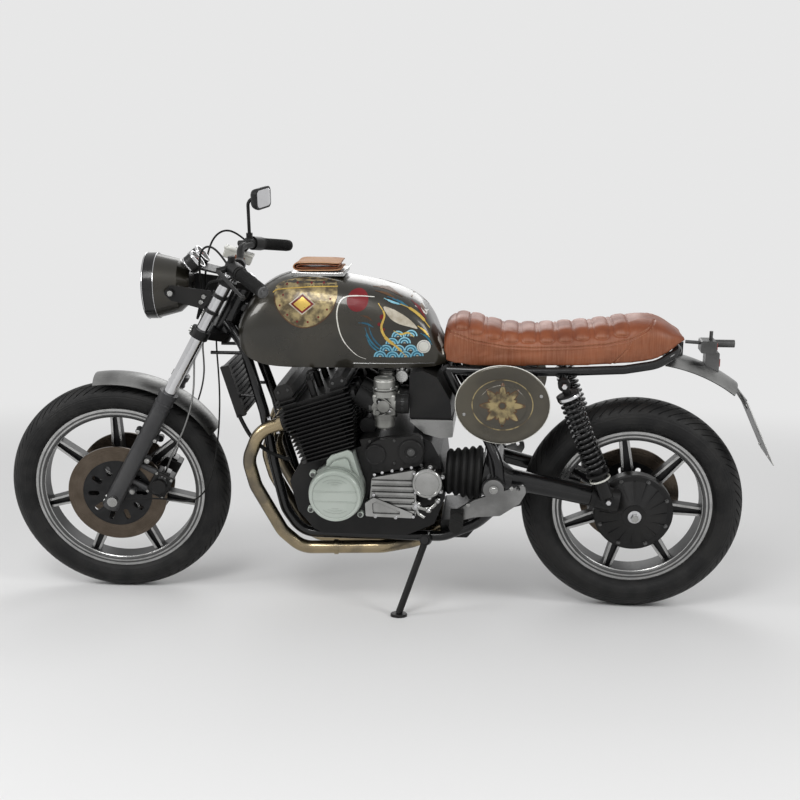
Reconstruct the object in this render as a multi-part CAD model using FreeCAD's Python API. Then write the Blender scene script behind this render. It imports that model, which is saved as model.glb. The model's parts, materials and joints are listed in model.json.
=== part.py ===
import FreeCAD, Part
import math
import os

from FreeCAD import Matrix, Placement, Rotation, Vector

# Millimetres and degrees. The motorcycle is laid out upright and steered straight:
# X forward, Y to its left, Z up, origin on the floor midway between the axles.
# It is then steered, leaned on its side stand and set down on the floor.

# Layout
wheelbase = 1545.0
body_half_width = 200.0
body_height = 1000.0
rake_angle = 29.5
fork_offset = 52.0
parked_lean = 9.0
parked_steer = 6.0
steer_lock = 31.0

# Gaps and cuts
seat_gap = 0.3
running_gap = 0.5
disc_gap = 5.0
overrun = 30.0

# Front wheel and tyre
front_tyre_radius = 334.0
front_crown_radius = 50.0
front_tyre_half_width = 47.0
front_rim_radius = 257.5
front_rim_half_width = 31.0
front_hub_radius = 34.0
front_hub_half_width = 54.0
front_spoke_angle = 0.5

# Rear wheel and tyre
rear_tyre_radius = 322.0
rear_crown_radius = 66.0
rear_tyre_half_width = 63.0
rear_rim_radius = 231.0
rear_rim_half_width = 39.0
rear_hub_radius = 46.0
rear_hub_half_width = 43.0
rear_spoke_angle = 8.0

# Rims and spokes
spoke_count = 7
rim_flange_height = 13.0
rim_flange_width = 5.0
rim_wall = 15.0
rim_lip = 7.0
rib_width = 7.0
rib_depth = 34.0
rib_web = 12.0
rib_hub_spacing = 34.0
rib_rim_spacing = 20.0
bead_width = 6.0
crown_angle = 60.0

# Brake discs
disc_radius = 149.0
disc_inner_radius = 105.0
disc_thickness = 6.0
front_disc_offset = 63.0
rear_disc_offset = 70.0
carrier_thickness = 5.0
carrier_slots = 10
carrier_slot_radius = 8.0
carrier_slot_start = 56.0
carrier_slot_end = 90.0

# Axles
front_axle_radius = 9.0
front_axle_half_length = 123.0
rear_axle_radius = 10.0
rear_axle_half_length = 137.0
axle_nut_radius = 15.0
axle_nut_length = 13.0

# Fork
fork_half_gap = 97.0
stanchion_radius = 18.0
slider_radius = 25.0
slider_low = 34.0
slider_top = 378.0
dust_seal_radius = 28.0
dust_seal_height = 16.0
fork_cap_radius = 16.0
fork_cap_height = 14.0
upper_yoke_height = 745.0
yoke_spacing = 149.0
yoke_thickness = 26.0
upper_yoke_thickness = 18.0
yoke_clamp_wall = 10.0
yoke_web_half_width = 32.0
stem_radius = 18.0
stem_nut_radius = 20.0
stem_nut_height = 14.0
head_tube_radius = 31.0
slider_lug_radius = 9.0
slider_lug_reach = 64.0
slider_lug_thickness = 19.0

# Headlamp
lamp_radius = 95.5
lamp_rim_depth = 34.0
lamp_bowl_depth = 94.0
lamp_forward = 630.0
lamp_height = 960.0
lamp_wall = 2.5
lamp_back_radius = 48.0
lens_dome = 14.0
lens_thickness = 4.0
ear_thickness = 4.0
ear_clamp_height = 10.0
lamp_bolt_radius = 11.0

# Handlebar, grips and controls
bar_radius = 11.0
bar_bend = 60.0
bar_half_width = 335.0
bar_sweep = 117.0
bar_rise = 40.0
bar_set_back = 4.4
riser_height = 16.2
grip_radius = 17.0
grip_end_radius = 19.5
grip_end_length = 9.0
riser_radius = 13.0
riser_spacing = 45.0
riser_clamp_radius = 19.0
riser_clamp_width = 24.0
switch_radius = 21.0
switch_length = 36.0
perch_length = 24.0
perch_radius = 16.0
lever_radius = 5.0
lever_reach = 42.0
reservoir_length = 88.0
reservoir_width = 40.0
reservoir_height = 28.0
reservoir_corner = 5.0
reservoir_tilt = 20.0
reservoir_ahead = 36.0
reservoir_drop = 37.0
reservoir_inset = 14.0
brake_cylinder_radius = 10.0
mirror_stalk_radius = 5.0
mirror_thread_radius = 4.2
mirror_thread_length = 14.0
mirror_half_width = 50.0
mirror_half_height = 32.0
mirror_corner = 17.0
mirror_depth = 28.0
mirror_rise = 102.0
mirror_reach = 18.5
mirror_back = 46.0
mirror_turn = 19.0
gauge_radius = 28.0
gauge_depth = 34.0
gauge_spacing = 40.0
gauge_tilt = 38.0
gauge_back = 141.0
gauge_rise = 85.0
gauge_bracket_thickness = 4.0

# Front mudguard and calipers
front_fender_radius = 365.0
front_fender_edge_radius = 343.0
front_fender_half_width = 62.0
front_fender_start = 82.0
front_fender_end = 148.0
fender_wall = 2.5
fender_stay_width = 46.0
caliper_width = 60.0
caliper_height = 76.0
caliper_depth = 23.0
caliper_centre_back = 100.0
caliper_centre_up = 96.0
caliper_piston_radius = 21.0
caliper_piston_depth = 12.0
rear_caliper_forward = 104.0
rear_caliper_up = 84.0

# Frame tubes
cradle_radius = 15.0
spine_radius = 24.0
seat_rail_radius = 12.5
brace_radius = 6.0
tube_bend = 90.0
pivot_boss_inner = 150.0
pivot_boss_wall = 4.0
pivot_cap_radius = 29.0
cooler_arm_radius = 5.0
fender_post_radius = 8.0
tank_mount_radius = 9.0

# Engine
cylinder_tilt = 18.0
cylinder_pitch = 107.0
crankcase_half_width = 165.0
barrel_height = 104.0
barrel_half_depth = 66.0
barrel_fins = 9
fin_half_width = 208.0
fin_front_low = 76.0
fin_front_high = 92.0
fin_rear_low = 78.0
fin_rear_high = 118.0
fin_spread_height = 135.0
fin_thickness = 2.6
fin_pitch = 11.5
fin_scallop_radius = 20.0
head_height = 76.0
head_front = 80.0
head_rear = 102.0
head_fins = 6
front_tower_start = 42.0
front_tower_end = 84.0
front_tower_height = 23.0
rear_tower_start = 66.0
rear_tower_end = 112.0
rear_tower_height = 10.0
tower_fin_reach = 9.0
front_cam_start = 36.0
front_cam_height = 38.0
rear_cam_start = 68.0
rear_cam_height = 26.0
cam_box_depth = 52.0
cam_box_half_width = 190.0
plug_radius = 10.0
plug_height = 46.0
plug_back = 12.0
port_flange_radius = 25.0
port_length = 10.0
front_port_share = 0.342
rear_port_share = 0.592
starter_motor_radius = 24.0
starter_motor_half_length = 100.0
deck_half_depth = 94.0
generator_radius = 75.0
generator_depth = 90.0
generator_cap_depth = 22.0
generator_drum_share = 1.04
shoulder_depth_share = 0.75
shoulder_step_share = 0.9
gear_cover_depth = 50.0
gear_cover_rib_depth = 6.0
gear_cover_ribs = 6
gear_cover_rib_height = 7.0
gear_brace_depth = 9.0
gear_pocket_depth = 5.0
middle_gear_radius = 43.0
middle_gear_depth = 64.0
starter_cover_depth = 26.0
starter_lobe_depth = 4.0
starter_front_lobe_radius = 30.0
starter_rear_lobe_radius = 36.0
clutch_radius = 92.0
clutch_depth = 44.0
ignition_radius = 56.0
ignition_depth = 62.0
cover_fillet = 8.0

# Carburettors, air box and tray
carb_body_length = 66.0
carb_body_width = 50.0
carb_body_height = 64.0
carb_flange_radius = 33.0
carb_flange_height = 8.0
carb_dome_radius = 30.0
carb_dome_height = 42.0
carb_bowl_radius = 28.0
carb_bowl_height = 37.0
carb_throat_radius = 26.0
carb_disc_radius = 17.0
carb_drain_radius = 6.0
carb_bar_radius = 8.0
rubber_radius = 27.0
airbox_half_width = 138.0
tray_half_width = 146.0
tray_wall = 2.0

# Exhaust
header_radius = 19.0
header_bend = 75.0
header_clamp_radius = 22.0
header_clamp_length = 12.0
collector_half_width = 104.0
silencer_radius = 36.0
silencer_outlet_radius = 22.0
silencer_outlet_length = 40.0

# Oil cooler
cooler_half_width = 104.0
cooler_thickness = 26.0
cooler_rows = 11
cooler_row_height = 7.0
cooler_tank_width = 20.0

# Bodywork
tank_squareness = 0.62
tank_tuck = 0.16
tunnel_clearance = 4.0
cap_radius = 30.0
cap_height = 9.0
tap_radius = 11.0
roll_length = 150.0
roll_half_width = 62.0
roll_height = 30.0
roll_tray_thickness = 2.5
seat_squareness = 0.5
side_cover_half_length = 131.0
side_cover_half_height = 112.0
side_cover_thickness = 5.0
side_cover_bulge = 9.0
side_cover_offset = 170.0

# Tail
rear_fender_radius = 468.0
rear_fender_edge_radius = 441.0
rear_fender_half_width = 70.0
rear_fender_start = 99.0
rear_fender_end = 127.0
plate_half_width = 92.0
plate_thickness = 2.5
plate_bracket_half_width = 14.0
tail_link_radius = 5.0
tail_upper_half_width = 26.0
tail_lower_half_width = 22.0
tail_lamp_radius = 11.0
tail_post_height = 24.0

# Swingarm, drive and shock absorbers
swing_tube_radius = 30.0
swing_cross_radius = 30.0
swing_right_radius = 22.0
swing_housing_radius = 62.0
shaft_offset = 110.0
boot_radius = 80.0
boot_groove = 10.0
boot_rings = 5
final_case_radius = 114.0
final_case_inner = 46.0
final_case_outer = 84.0
final_fin_radius = 96.0
final_nose_outer = 118.0
final_nose_radius = 34.0
final_fins = 16
final_fin_thickness = 4.0
shock_offset = 160.0
shock_eye_radius = 17.0
shock_eye_width = 28.0
shock_stud_radius = 8.0
shock_body_radius = 19.0
shock_rod_radius = 7.0
spring_radius = 26.5
spring_wire_radius = 4.5
spring_turns = 15.0
spring_seat_thickness = 6.0
spring_seat_radius = 33.0
shock_lug_radius = 11.0

# Footrests
footrest_plane = 216.0
footrest_thickness = 12.0
footpeg_radius = 18.0
footpeg_hinge_width = 25.0
footpeg_hinge_half_height = 22.0
footpeg_length = 88.0
peg_bore_radius = 6.0

# Side stand
stand_leg_radius = 10.0
stand_pin_radius = 7.0
stand_eye_radius = 16.0
stand_eye_width = 22.0
stand_lug_width = 16.0
stand_foot_radius = 24.0
stand_foot_thickness = 8.0
stand_foot_side = 229.0
stand_foot_forward = -103.0
stand_range = 108.0

# Axes of the upright machine
forward = Vector(1, 0, 0)
left = Vector(0, 1, 0)
up = Vector(0, 0, 1)
origin = Vector(0, 0, 0)


def spot(x_share, y_share, z_share):
    """A place in the upright machine, in shares of its length, half width and height."""
    return Vector(x_share * wheelbase, y_share * body_half_width, z_share * body_height)


front_axle = Vector(wheelbase / 2, 0, front_tyre_radius)
rear_axle = Vector(-wheelbase / 2, 0, rear_tyre_radius)
fork_frame = Placement(front_axle, Rotation(left, -rake_angle))
steer_axis = fork_frame.Rotation.multVec(up)
steer_point = fork_frame.multVec(Vector(-fork_offset, 0, 0))
lower_yoke_height = upper_yoke_height - yoke_spacing - yoke_thickness
engine_deck_shares = (0.0615, 0, 0.5)
engine_deck = spot(*engine_deck_shares)
engine_frame = Placement(engine_deck, Rotation(left, cylinder_tilt))


def in_fork(x, y, z):
    """Upright place of a point given ahead of, beside and above the front axle along the fork."""
    return fork_frame.multVec(Vector(x, y, z))


def rod(start, end, radius):
    """Round bar between two points."""
    line = end - start
    return Part.makeCylinder(radius, line.Length, start, line)


def cone(start, end, start_radius, end_radius):
    """Tapered round bar between two points."""
    line = end - start
    return Part.makeCone(start_radius, end_radius, line.Length, start, line)


def block(low, high):
    """Box between two opposite corners."""
    size = high - low
    return Part.makeBox(size.x, size.y, size.z, low)


def fuse(shapes):
    """One shape from several that touch or overlap."""
    joined = shapes[0].fuse(shapes[1:]) if len(shapes) > 1 else shapes[0]
    return joined.removeSplitter()


def mirrored(shape):
    """The same piece on the other side of the machine."""
    return shape.mirror(origin, left)


def both_sides(shape):
    """A left piece and its right twin in one shape."""
    return Part.makeCompound([shape, mirrored(shape)])


def bend_edges(points, radius, closed=False):
    """Straight runs joined by tangent arcs, as large as their runs allow."""
    count = len(points)
    corners = range(count) if closed else range(1, count - 1)
    tangents = {}
    for index in corners:
        corner = points[index]
        back = points[index - 1] - corner
        ahead = points[(index + 1) % count] - corner
        shorter = min(back.Length, ahead.Length)
        back.normalize()
        ahead.normalize()
        half_turn = (math.pi - back.getAngle(ahead)) / 2
        if half_turn < 0.01:
            continue
        reach = min(radius * math.tan(half_turn), 0.48 * shorter)
        arc_radius = reach / math.tan(half_turn)
        inward = back + ahead
        inward.normalize()
        middle = corner + inward * (arc_radius / math.cos(half_turn) - arc_radius)
        tangents[index] = (corner + back * reach, middle, corner + ahead * reach)
    edges = []
    for index in range(count if closed else count - 1):
        following = (index + 1) % count
        start = tangents[index][2] if index in tangents else points[index]
        end = tangents[following][0] if following in tangents else points[following]
        edges.append(Part.makeLine(start, end))
        if following in tangents:
            edges.append(Part.Arc(*tangents[following]).toShape())
    return edges


def tube(points, radius, bend):
    """Round tube along straight runs and tangent arcs."""
    path = Part.Wire(bend_edges(points, bend))
    ring = Part.Wire(Part.makeCircle(radius, points[0], points[1] - points[0]))
    return path.makePipeShell([ring], True, False)


def plate(points, corner_radius, depth):
    """Flat piece with rounded corners, cut to a closed outline and pushed through depth."""
    edges = bend_edges(points, corner_radius, True)
    return Part.Face(Part.Wire(edges)).extrude(depth)


def oval(half_width, half_height):
    """Closed ellipse about the origin in the X and Y plane, whichever half size is the larger."""
    wide = Vector(half_width, 0, 0)
    high = Vector(0, half_height, 0)
    long_way, short_way = (wide, high) if half_width >= half_height else (high, wide)
    return Part.Wire([Part.Ellipse(long_way, short_way, origin).toShape()])


def rounded_ring(half_width, half_height, corner_radius):
    """Closed rounded rectangle about the origin in the X and Y plane."""
    corners = ((-half_width, -half_height), (half_width, -half_height), (half_width, half_height),
               (-half_width, half_height))
    return Part.Wire(bend_edges([Vector(x, y, 0) for x, y in corners], corner_radius, True))


def side_plate(shares, low_side, high_side, corner_radius):
    """Flat upright piece whose outline is given in shares of the machine's length and height."""
    points = [spot(x, 0, z) + left * low_side for x, z in shares]
    return plate(points, corner_radius, left * (high_side - low_side))


def turned(profile, centre, axis=left):
    """Solid of revolution about an axle line; the profile lists radius and offset along it."""
    points = [Vector(radius, offset, 0) for radius, offset in profile]
    face = Part.Face(Part.makePolygon(points + points[:1]))
    solid = face.revolve(origin, left, 360)
    solid.Placement = Placement(centre, Rotation(left, axis))
    return solid


def around(shape, count, centre, axis=left):
    """Copies of a piece, evenly spaced about an axle line."""
    copies = []
    for index in range(count):
        copy = shape.copy()
        copy.rotate(centre, axis, index * 360 / count)
        copies.append(copy)
    return copies


# Wheels

def tyre(radius, crown_radius, half_width, rim_radius, rim_half_width, centre):
    """Ring with a round crown, bulged sidewalls and beads over the rim flanges."""
    crown_centre = radius - crown_radius
    angle = math.radians(crown_angle)
    shoulder = (crown_centre + crown_radius * math.cos(angle), crown_radius * math.sin(angle))
    bead_radius = rim_radius - rim_flange_height + seat_gap
    inside = rim_half_width - rim_flange_width - seat_gap
    lip_radius = rim_radius + seat_gap
    wall_radius = (lip_radius + shoulder[0]) / 2

    def at(place, side=1):
        return Vector(place[0], side * place[1], 0)

    edges = []
    left_points = [(bead_radius, inside), (lip_radius, inside), (lip_radius, inside + bead_width)]
    edges.append(Part.makeLine(at(left_points[0], -1), at(left_points[0])))
    edges.append(Part.makeLine(at(left_points[0]), at(left_points[1])))
    edges.append(Part.makeLine(at(left_points[1]), at(left_points[2])))
    edges.append(Part.Arc(at(left_points[2]), at((wall_radius, half_width)), at(shoulder)).toShape())
    edges.append(Part.Arc(at(shoulder), at((radius, 0)), at(shoulder, -1)).toShape())
    edges.append(Part.Arc(at(shoulder, -1), at((wall_radius, half_width), -1), at(left_points[2], -1)).toShape())
    edges.append(Part.makeLine(at(left_points[2], -1), at(left_points[1], -1)))
    edges.append(Part.makeLine(at(left_points[1], -1), at(left_points[0], -1)))
    ring = Part.Face(Part.Wire(edges)).revolve(origin, left, 360)
    ring.translate(centre)
    return ring


def cast_wheel(rim_radius, rim_half, hub_radius, hub_half, bore_radius, first_angle, carriers, centre):
    """Cast rim, hub, disc carriers and spokes, each spoke two ribs joined by a thin web."""
    bed = rim_radius - rim_flange_height
    inner = bed - rim_wall
    edge = rim_half - rim_flange_width
    rim = turned([(inner, -edge), (inner + rim_lip, -rim_half), (rim_radius, -rim_half), (rim_radius, -edge),
                  (bed, -edge), (bed, edge), (rim_radius, edge), (rim_radius, rim_half),
                  (inner + rim_lip, rim_half), (inner, edge)], origin)
    hub = turned([(bore_radius, -hub_half), (hub_radius, -hub_half), (hub_radius, hub_half),
                  (bore_radius, hub_half)], origin)
    start = hub_radius - rib_width
    reach = inner + rim_lip / 2
    parts = []
    for side in (-1, 1):
        near = side * rib_hub_spacing / 2
        far = side * rib_rim_spacing / 2
        corners = [(near - rib_width / 2, start), (near + rib_width / 2, start),
                   (far + rib_width / 2, reach), (far - rib_width / 2, reach)]
        points = [Vector(x, -rib_depth / 2, z) for x, z in corners]
        parts.append(Part.Face(Part.makePolygon(points + points[:1])).extrude(left * rib_depth))
    web = [(-rib_hub_spacing / 2, start), (rib_hub_spacing / 2, start),
           (rib_rim_spacing / 2, reach), (-rib_rim_spacing / 2, reach)]
    points = [Vector(x, -rib_web / 2, z) for x, z in web]
    parts.append(Part.Face(Part.makePolygon(points + points[:1])).extrude(left * rib_web))
    spoke = fuse(parts)
    spoke.rotate(origin, left, first_angle)
    wheel = fuse([rim, hub] + carriers + around(spoke, spoke_count, origin))
    bore = rod(left * -disc_radius, left * disc_radius, bore_radius)
    wheel = wheel.cut(bore)
    wheel.translate(centre)
    return wheel


def brake_disc(offset, centre):
    """Plain friction ring."""
    half = disc_thickness / 2
    return turned([(disc_inner_radius, offset - half), (disc_radius, offset - half),
                   (disc_radius, offset + half), (disc_inner_radius, offset + half)], centre)


def disc_carrier(offset, hub_radius, hub_half, bore_radius):
    """Pierced dish between the hub and its friction ring, about the origin."""
    side = 1 if offset > 0 else -1
    half = carrier_thickness / 2
    place = abs(offset)
    profile = [(bore_radius, hub_half), (hub_radius, hub_half), (hub_radius, place - half),
               (disc_inner_radius - seat_gap, place - half), (disc_inner_radius - seat_gap, place + half),
               (bore_radius, place + half)]
    dish = turned([(radius, side * y) for radius, y in profile], origin)
    corners = [(carrier_slot_start, -carrier_slot_radius), (carrier_slot_end, -carrier_slot_radius),
               (carrier_slot_end, carrier_slot_radius), (carrier_slot_start, carrier_slot_radius)]
    outline = [Vector(x, side * hub_half, z) for x, z in corners]
    slot = plate(outline, carrier_slot_radius, left * side * (place - hub_half + overrun))
    return dish.cut(around(slot, carrier_slots, origin))


def front_wheel_parts(nodes):
    bore = front_axle_radius + running_gap
    carriers = [disc_carrier(side * front_disc_offset, front_hub_radius, front_hub_half_width, bore)
                for side in (1, -1)]
    nodes["front_wheel"] = cast_wheel(front_rim_radius, front_rim_half_width, front_hub_radius,
                                      front_hub_half_width, bore, front_spoke_angle, carriers, front_axle)
    nodes["front_tyre"] = tyre(front_tyre_radius, front_crown_radius, front_tyre_half_width,
                               front_rim_radius, front_rim_half_width, front_axle)
    discs = [brake_disc(side * front_disc_offset, front_axle) for side in (1, -1)]
    nodes["front_discs"] = Part.makeCompound(discs)


def rear_wheel_parts(nodes):
    bore = rear_axle_radius + running_gap
    carrier = disc_carrier(-rear_disc_offset, rear_hub_radius, rear_hub_half_width, bore)
    nodes["rear_wheel"] = cast_wheel(rear_rim_radius, rear_rim_half_width, rear_hub_radius,
                                     rear_hub_half_width, bore, rear_spoke_angle, [carrier], rear_axle)
    nodes["rear_tyre"] = tyre(rear_tyre_radius, rear_crown_radius, rear_tyre_half_width,
                              rear_rim_radius, rear_rim_half_width, rear_axle)
    nodes["rear_disc"] = brake_disc(-rear_disc_offset, rear_axle)


# Fork and steering

def fork_parts(nodes):
    legs = []
    sliders = []
    for side in (1, -1):
        y = side * fork_half_gap
        leg = rod(in_fork(0, y, slider_top), in_fork(0, y, upper_yoke_height + upper_yoke_thickness),
                  stanchion_radius)
        cap = rod(in_fork(0, y, upper_yoke_height + upper_yoke_thickness),
                  in_fork(0, y, upper_yoke_height + upper_yoke_thickness + fork_cap_height), fork_cap_radius)
        legs.append(fuse([leg, cap]))
        body = rod(in_fork(0, y, -slider_low), in_fork(0, y, slider_top), slider_radius)
        seal = rod(in_fork(0, y, slider_top - dust_seal_height), in_fork(0, y, slider_top), dust_seal_radius)
        lugs = [body, seal]
        for height in (caliper_centre_up - caliper_height * 0.4, caliper_centre_up + caliper_height * 0.4):
            middle = in_fork(0, side * (fork_half_gap - slider_radius + slider_lug_thickness / 2), height)
            reach = in_fork(-slider_lug_reach - slider_lug_radius,
                            side * (fork_half_gap - slider_radius + slider_lug_thickness / 2), height)
            lugs.append(rod(middle, reach, slider_lug_radius))
        sliders.append(fuse(lugs))
    axle_hole = rod(front_axle - left * front_axle_half_length, front_axle + left * front_axle_half_length,
                    front_axle_radius)
    nodes["fork_tubes"] = Part.makeCompound(legs)
    nodes["fork_sliders"] = Part.makeCompound([slider.cut(axle_hole) for slider in sliders])
    nut = rod(front_axle + left * (fork_half_gap + slider_radius),
              front_axle + left * (front_axle_half_length + axle_nut_length), axle_nut_radius)
    far_nut = mirrored(nut)
    nodes["front_axle"] = fuse([axle_hole, nut, far_nut])


def yoke(height, thickness, hole_radius, stem_hole):
    """Clamp plate that holds both fork tubes and the steering stem."""
    ring_radius = stanchion_radius + yoke_clamp_wall
    parts = []
    for side in (1, -1):
        base = in_fork(0, side * fork_half_gap, height)
        parts.append(rod(base, in_fork(0, side * fork_half_gap, height + thickness), ring_radius))
    parts.append(rod(in_fork(-fork_offset, 0, height), in_fork(-fork_offset, 0, height + thickness),
                     yoke_web_half_width))
    outline = [(-fork_offset - yoke_web_half_width / 2, -yoke_web_half_width),
               (-fork_offset - yoke_web_half_width / 2, yoke_web_half_width),
               (-ring_radius / 2, fork_half_gap), (ring_radius / 2, fork_half_gap),
               (-fork_offset / 2, 0), (ring_radius / 2, -fork_half_gap), (-ring_radius / 2, -fork_half_gap)]
    points = [in_fork(x, y, height) for x, y in outline]
    web = Part.Face(Part.makePolygon(points + points[:1]))
    parts.append(web.extrude(in_fork(0, 0, thickness) - front_axle))
    body = fuse(parts)
    holes = [rod(in_fork(0, side * fork_half_gap, height - overrun),
                 in_fork(0, side * fork_half_gap, height + thickness + overrun), hole_radius)
             for side in (1, -1)]
    if stem_hole:
        holes.append(rod(in_fork(-fork_offset, 0, height - overrun),
                         in_fork(-fork_offset, 0, height + thickness + overrun), stem_radius))
    return body.cut(holes)


def yokes(nodes):
    nodes["upper_yoke"] = yoke(upper_yoke_height, upper_yoke_thickness, stanchion_radius, True)
    lower = yoke(lower_yoke_height, yoke_thickness, stanchion_radius, False)
    stem = rod(in_fork(-fork_offset, 0, lower_yoke_height),
               in_fork(-fork_offset, 0, upper_yoke_height + upper_yoke_thickness), stem_radius)
    nut = rod(in_fork(-fork_offset, 0, upper_yoke_height + upper_yoke_thickness),
              in_fork(-fork_offset, 0, upper_yoke_height + upper_yoke_thickness + stem_nut_height),
              stem_nut_radius)
    nodes["lower_yoke"] = fuse([lower, stem, nut])


def head_tube():
    """Steering head of the frame, bored for the stem."""
    low = lower_yoke_height + yoke_thickness + running_gap
    high = upper_yoke_height - running_gap
    outer = rod(in_fork(-fork_offset, 0, low), in_fork(-fork_offset, 0, high), head_tube_radius)
    return outer, rod(in_fork(-fork_offset, 0, low - overrun), in_fork(-fork_offset, 0, high + overrun),
                      stem_radius + running_gap)


# Heights of the ears' bands between the yokes, in shares of that distance
ear_band_shares = (0.38, 0.72)


def headlamp(nodes):
    centre = Vector(lamp_forward, 0, lamp_height)
    half_rim = lamp_rim_depth / 2

    def lamp_turned(profile):
        return turned([(radius, offset) for radius, offset in profile], centre, forward)

    bowl_back = -half_rim - lamp_bowl_depth
    outer = [(0, bowl_back), (lamp_back_radius, bowl_back), (lamp_radius * 0.8, bowl_back * 0.72),
             (lamp_radius - lamp_wall, -half_rim)]
    inner = [(lamp_radius - 2 * lamp_wall, -half_rim), (lamp_radius * 0.8 - lamp_wall, bowl_back * 0.70),
             (lamp_back_radius - lamp_wall, bowl_back + lamp_wall), (0, bowl_back + lamp_wall)]
    nodes["headlamp_shell"] = lamp_turned(outer + inner)
    glass_radius = lamp_radius - 4 * lamp_wall
    rim = lamp_turned([(glass_radius, -half_rim), (lamp_radius, -half_rim), (lamp_radius, half_rim * 0.6),
                       (lamp_radius - lamp_wall, half_rim), (glass_radius, half_rim)])
    nodes["headlamp_rim"] = rim
    sphere_radius = (glass_radius ** 2 + lens_dome ** 2) / (2 * lens_dome)
    sphere = Part.makeSphere(sphere_radius, centre + forward * (half_rim + lens_dome - sphere_radius))
    core = rod(centre + forward * (half_rim - lens_thickness), centre + forward * (half_rim + lens_dome * 2),
               glass_radius - seat_gap)
    nodes["headlamp_lens"] = sphere.common(core)
    bolts = []
    ears = []
    bolt_x = lamp_forward - half_rim - lamp_bowl_depth * 0.55
    leg_low = lower_yoke_height + yoke_thickness + yoke_spacing * ear_band_shares[0]
    leg_top = lower_yoke_height + yoke_thickness + yoke_spacing * ear_band_shares[1]
    for side in (1, -1):
        y = side * fork_half_gap
        rings = [rod(in_fork(0, y, height), in_fork(0, y, height + ear_clamp_height),
                     stanchion_radius + ear_thickness) for height in (leg_low, leg_top)]
        points = [in_fork(stanchion_radius, y, leg_low), in_fork(stanchion_radius, y, leg_top + ear_clamp_height),
                  Vector(bolt_x, y, lamp_height + lamp_bolt_radius * 2),
                  Vector(bolt_x + lamp_bolt_radius * 2, y, lamp_height),
                  Vector(bolt_x, y, lamp_height - lamp_bolt_radius * 2)]
        face = plate(points, lamp_bolt_radius, left * side * ear_thickness)
        ears.append(fuse(rings + [face]).cut(rod(in_fork(0, y, 0), in_fork(0, y, body_height),
                                                 stanchion_radius)))
        start = Vector(bolt_x, side * lamp_radius * 0.6, lamp_height)
        bolts.append(rod(start, Vector(bolt_x, y + side * ear_thickness * 3, lamp_height), lamp_bolt_radius))
    bowl = lamp_turned(outer + [(0, -half_rim)])
    nodes["headlamp_ears"] = Part.makeCompound([fuse([ear, bolt.cut(bowl)]) for ear, bolt in zip(ears, bolts)])


# Handlebar from its middle outwards, in shares of its sweep, half width and rise
bar_shares = [(0, 0, 0), (0, 0.179, 0), (0.034, 0.370, 1.0), (-0.300, 0.642, 0.8), (-1.0, 1.0, 0.075)]
grip_start_share = 0.08
grip_end_share = 0.97
switch_share = 0.22


def bar_half():
    """Points of the left handlebar half, starting above the upper yoke."""
    middle = in_fork(-bar_set_back, 0, upper_yoke_height + upper_yoke_thickness + riser_height)
    return [middle + Vector(x * bar_sweep, y * bar_half_width, z * bar_rise) for x, y, z in bar_shares]


def bar_point(share):
    """Point on the last straight run of the left handlebar half."""
    start, end = bar_half()[-2:]
    return start + (end - start) * share


def handlebar(nodes):
    half = bar_half()
    right = [Vector(point.x, -point.y, point.z) for point in half[1:]]
    nodes["handlebar"] = tube(list(reversed(half[1:])) + right, bar_radius, bar_bend)
    end = bar_point(1)
    grip = rod(bar_point(grip_start_share), end, grip_radius)
    along = end - bar_point(0)
    along.normalize()
    flange = rod(bar_point(grip_start_share), bar_point(grip_start_share) + along * grip_end_length,
                 grip_end_radius)
    grip = fuse([grip, flange]).cut(nodes["handlebar"])
    nodes["grips"] = both_sides(grip)
    middle = half[0]
    foot_height = upper_yoke_height + upper_yoke_thickness
    risers = []
    for side in (1, -1):
        top = Vector(middle.x, side * riser_spacing, middle.z)
        local = fork_frame.inverse().multVec(top)
        foot = in_fork(local.x, local.y, foot_height)
        clamp = rod(top - left * riser_clamp_width / 2, top + left * riser_clamp_width / 2,
                    riser_clamp_radius)
        risers += [rod(foot, top, riser_radius), clamp]
    nodes["upper_yoke"] = fuse([nodes["upper_yoke"]] + risers).cut(nodes["handlebar"])


def controls(nodes):
    inner = bar_point(grip_start_share)
    along = bar_point(1) - bar_point(0)
    along.normalize()
    ahead = forward - along * forward.dot(along)
    ahead.normalize()
    switch = rod(inner - along * (switch_length + seat_gap), inner - along * seat_gap, switch_radius)
    perch_start = inner - along * (switch_length + perch_length + seat_gap)
    perch = rod(perch_start, perch_start + along * perch_length, perch_radius)
    hinge = perch_start + along * perch_length / 2 + ahead * lever_reach
    arm = rod(perch_start + along * perch_length / 2, hinge, perch_radius * 0.6)
    tip = bar_point(1) + ahead * (lever_reach + grip_radius)
    blade = cone(hinge, tip, lever_radius * 1.3, lever_radius * 0.8)
    knob = Part.makeSphere(lever_radius * 1.5, tip)
    lever = fuse([perch, arm, blade, knob])
    boss_base = perch_start + along * perch_length / 2
    boss_top = boss_base + up * (perch_radius + mirror_stalk_radius * 3)
    boss = rod(boss_base, boss_top, perch_radius * 0.62)
    lever = fuse([lever, boss])
    thread = rod(boss_top - up * mirror_thread_length, boss_top + up * overrun, mirror_thread_radius)
    side = fuse([lever, switch]).cut(nodes["handlebar"])
    bowl_centre = boss_base + Vector(reservoir_ahead, -reservoir_inset, -reservoir_drop)
    cylinder = rod(boss_base, bowl_centre, brake_cylinder_radius)
    brake_side = fuse([lever, switch, cylinder]).cut(nodes["handlebar"])
    nodes["controls"] = Part.makeCompound([side.cut(thread), mirrored(brake_side)])
    corner = Vector(-reservoir_length / 2, -reservoir_width / 2, -reservoir_height / 2)
    bowl = Part.makeBox(reservoir_length, reservoir_width, reservoir_height, corner)
    bowl = bowl.makeFillet(reservoir_corner, bowl.Edges)
    bowl.Placement = Placement(bowl_centre, Rotation(left, -reservoir_tilt))
    return boss_top, bowl


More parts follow.
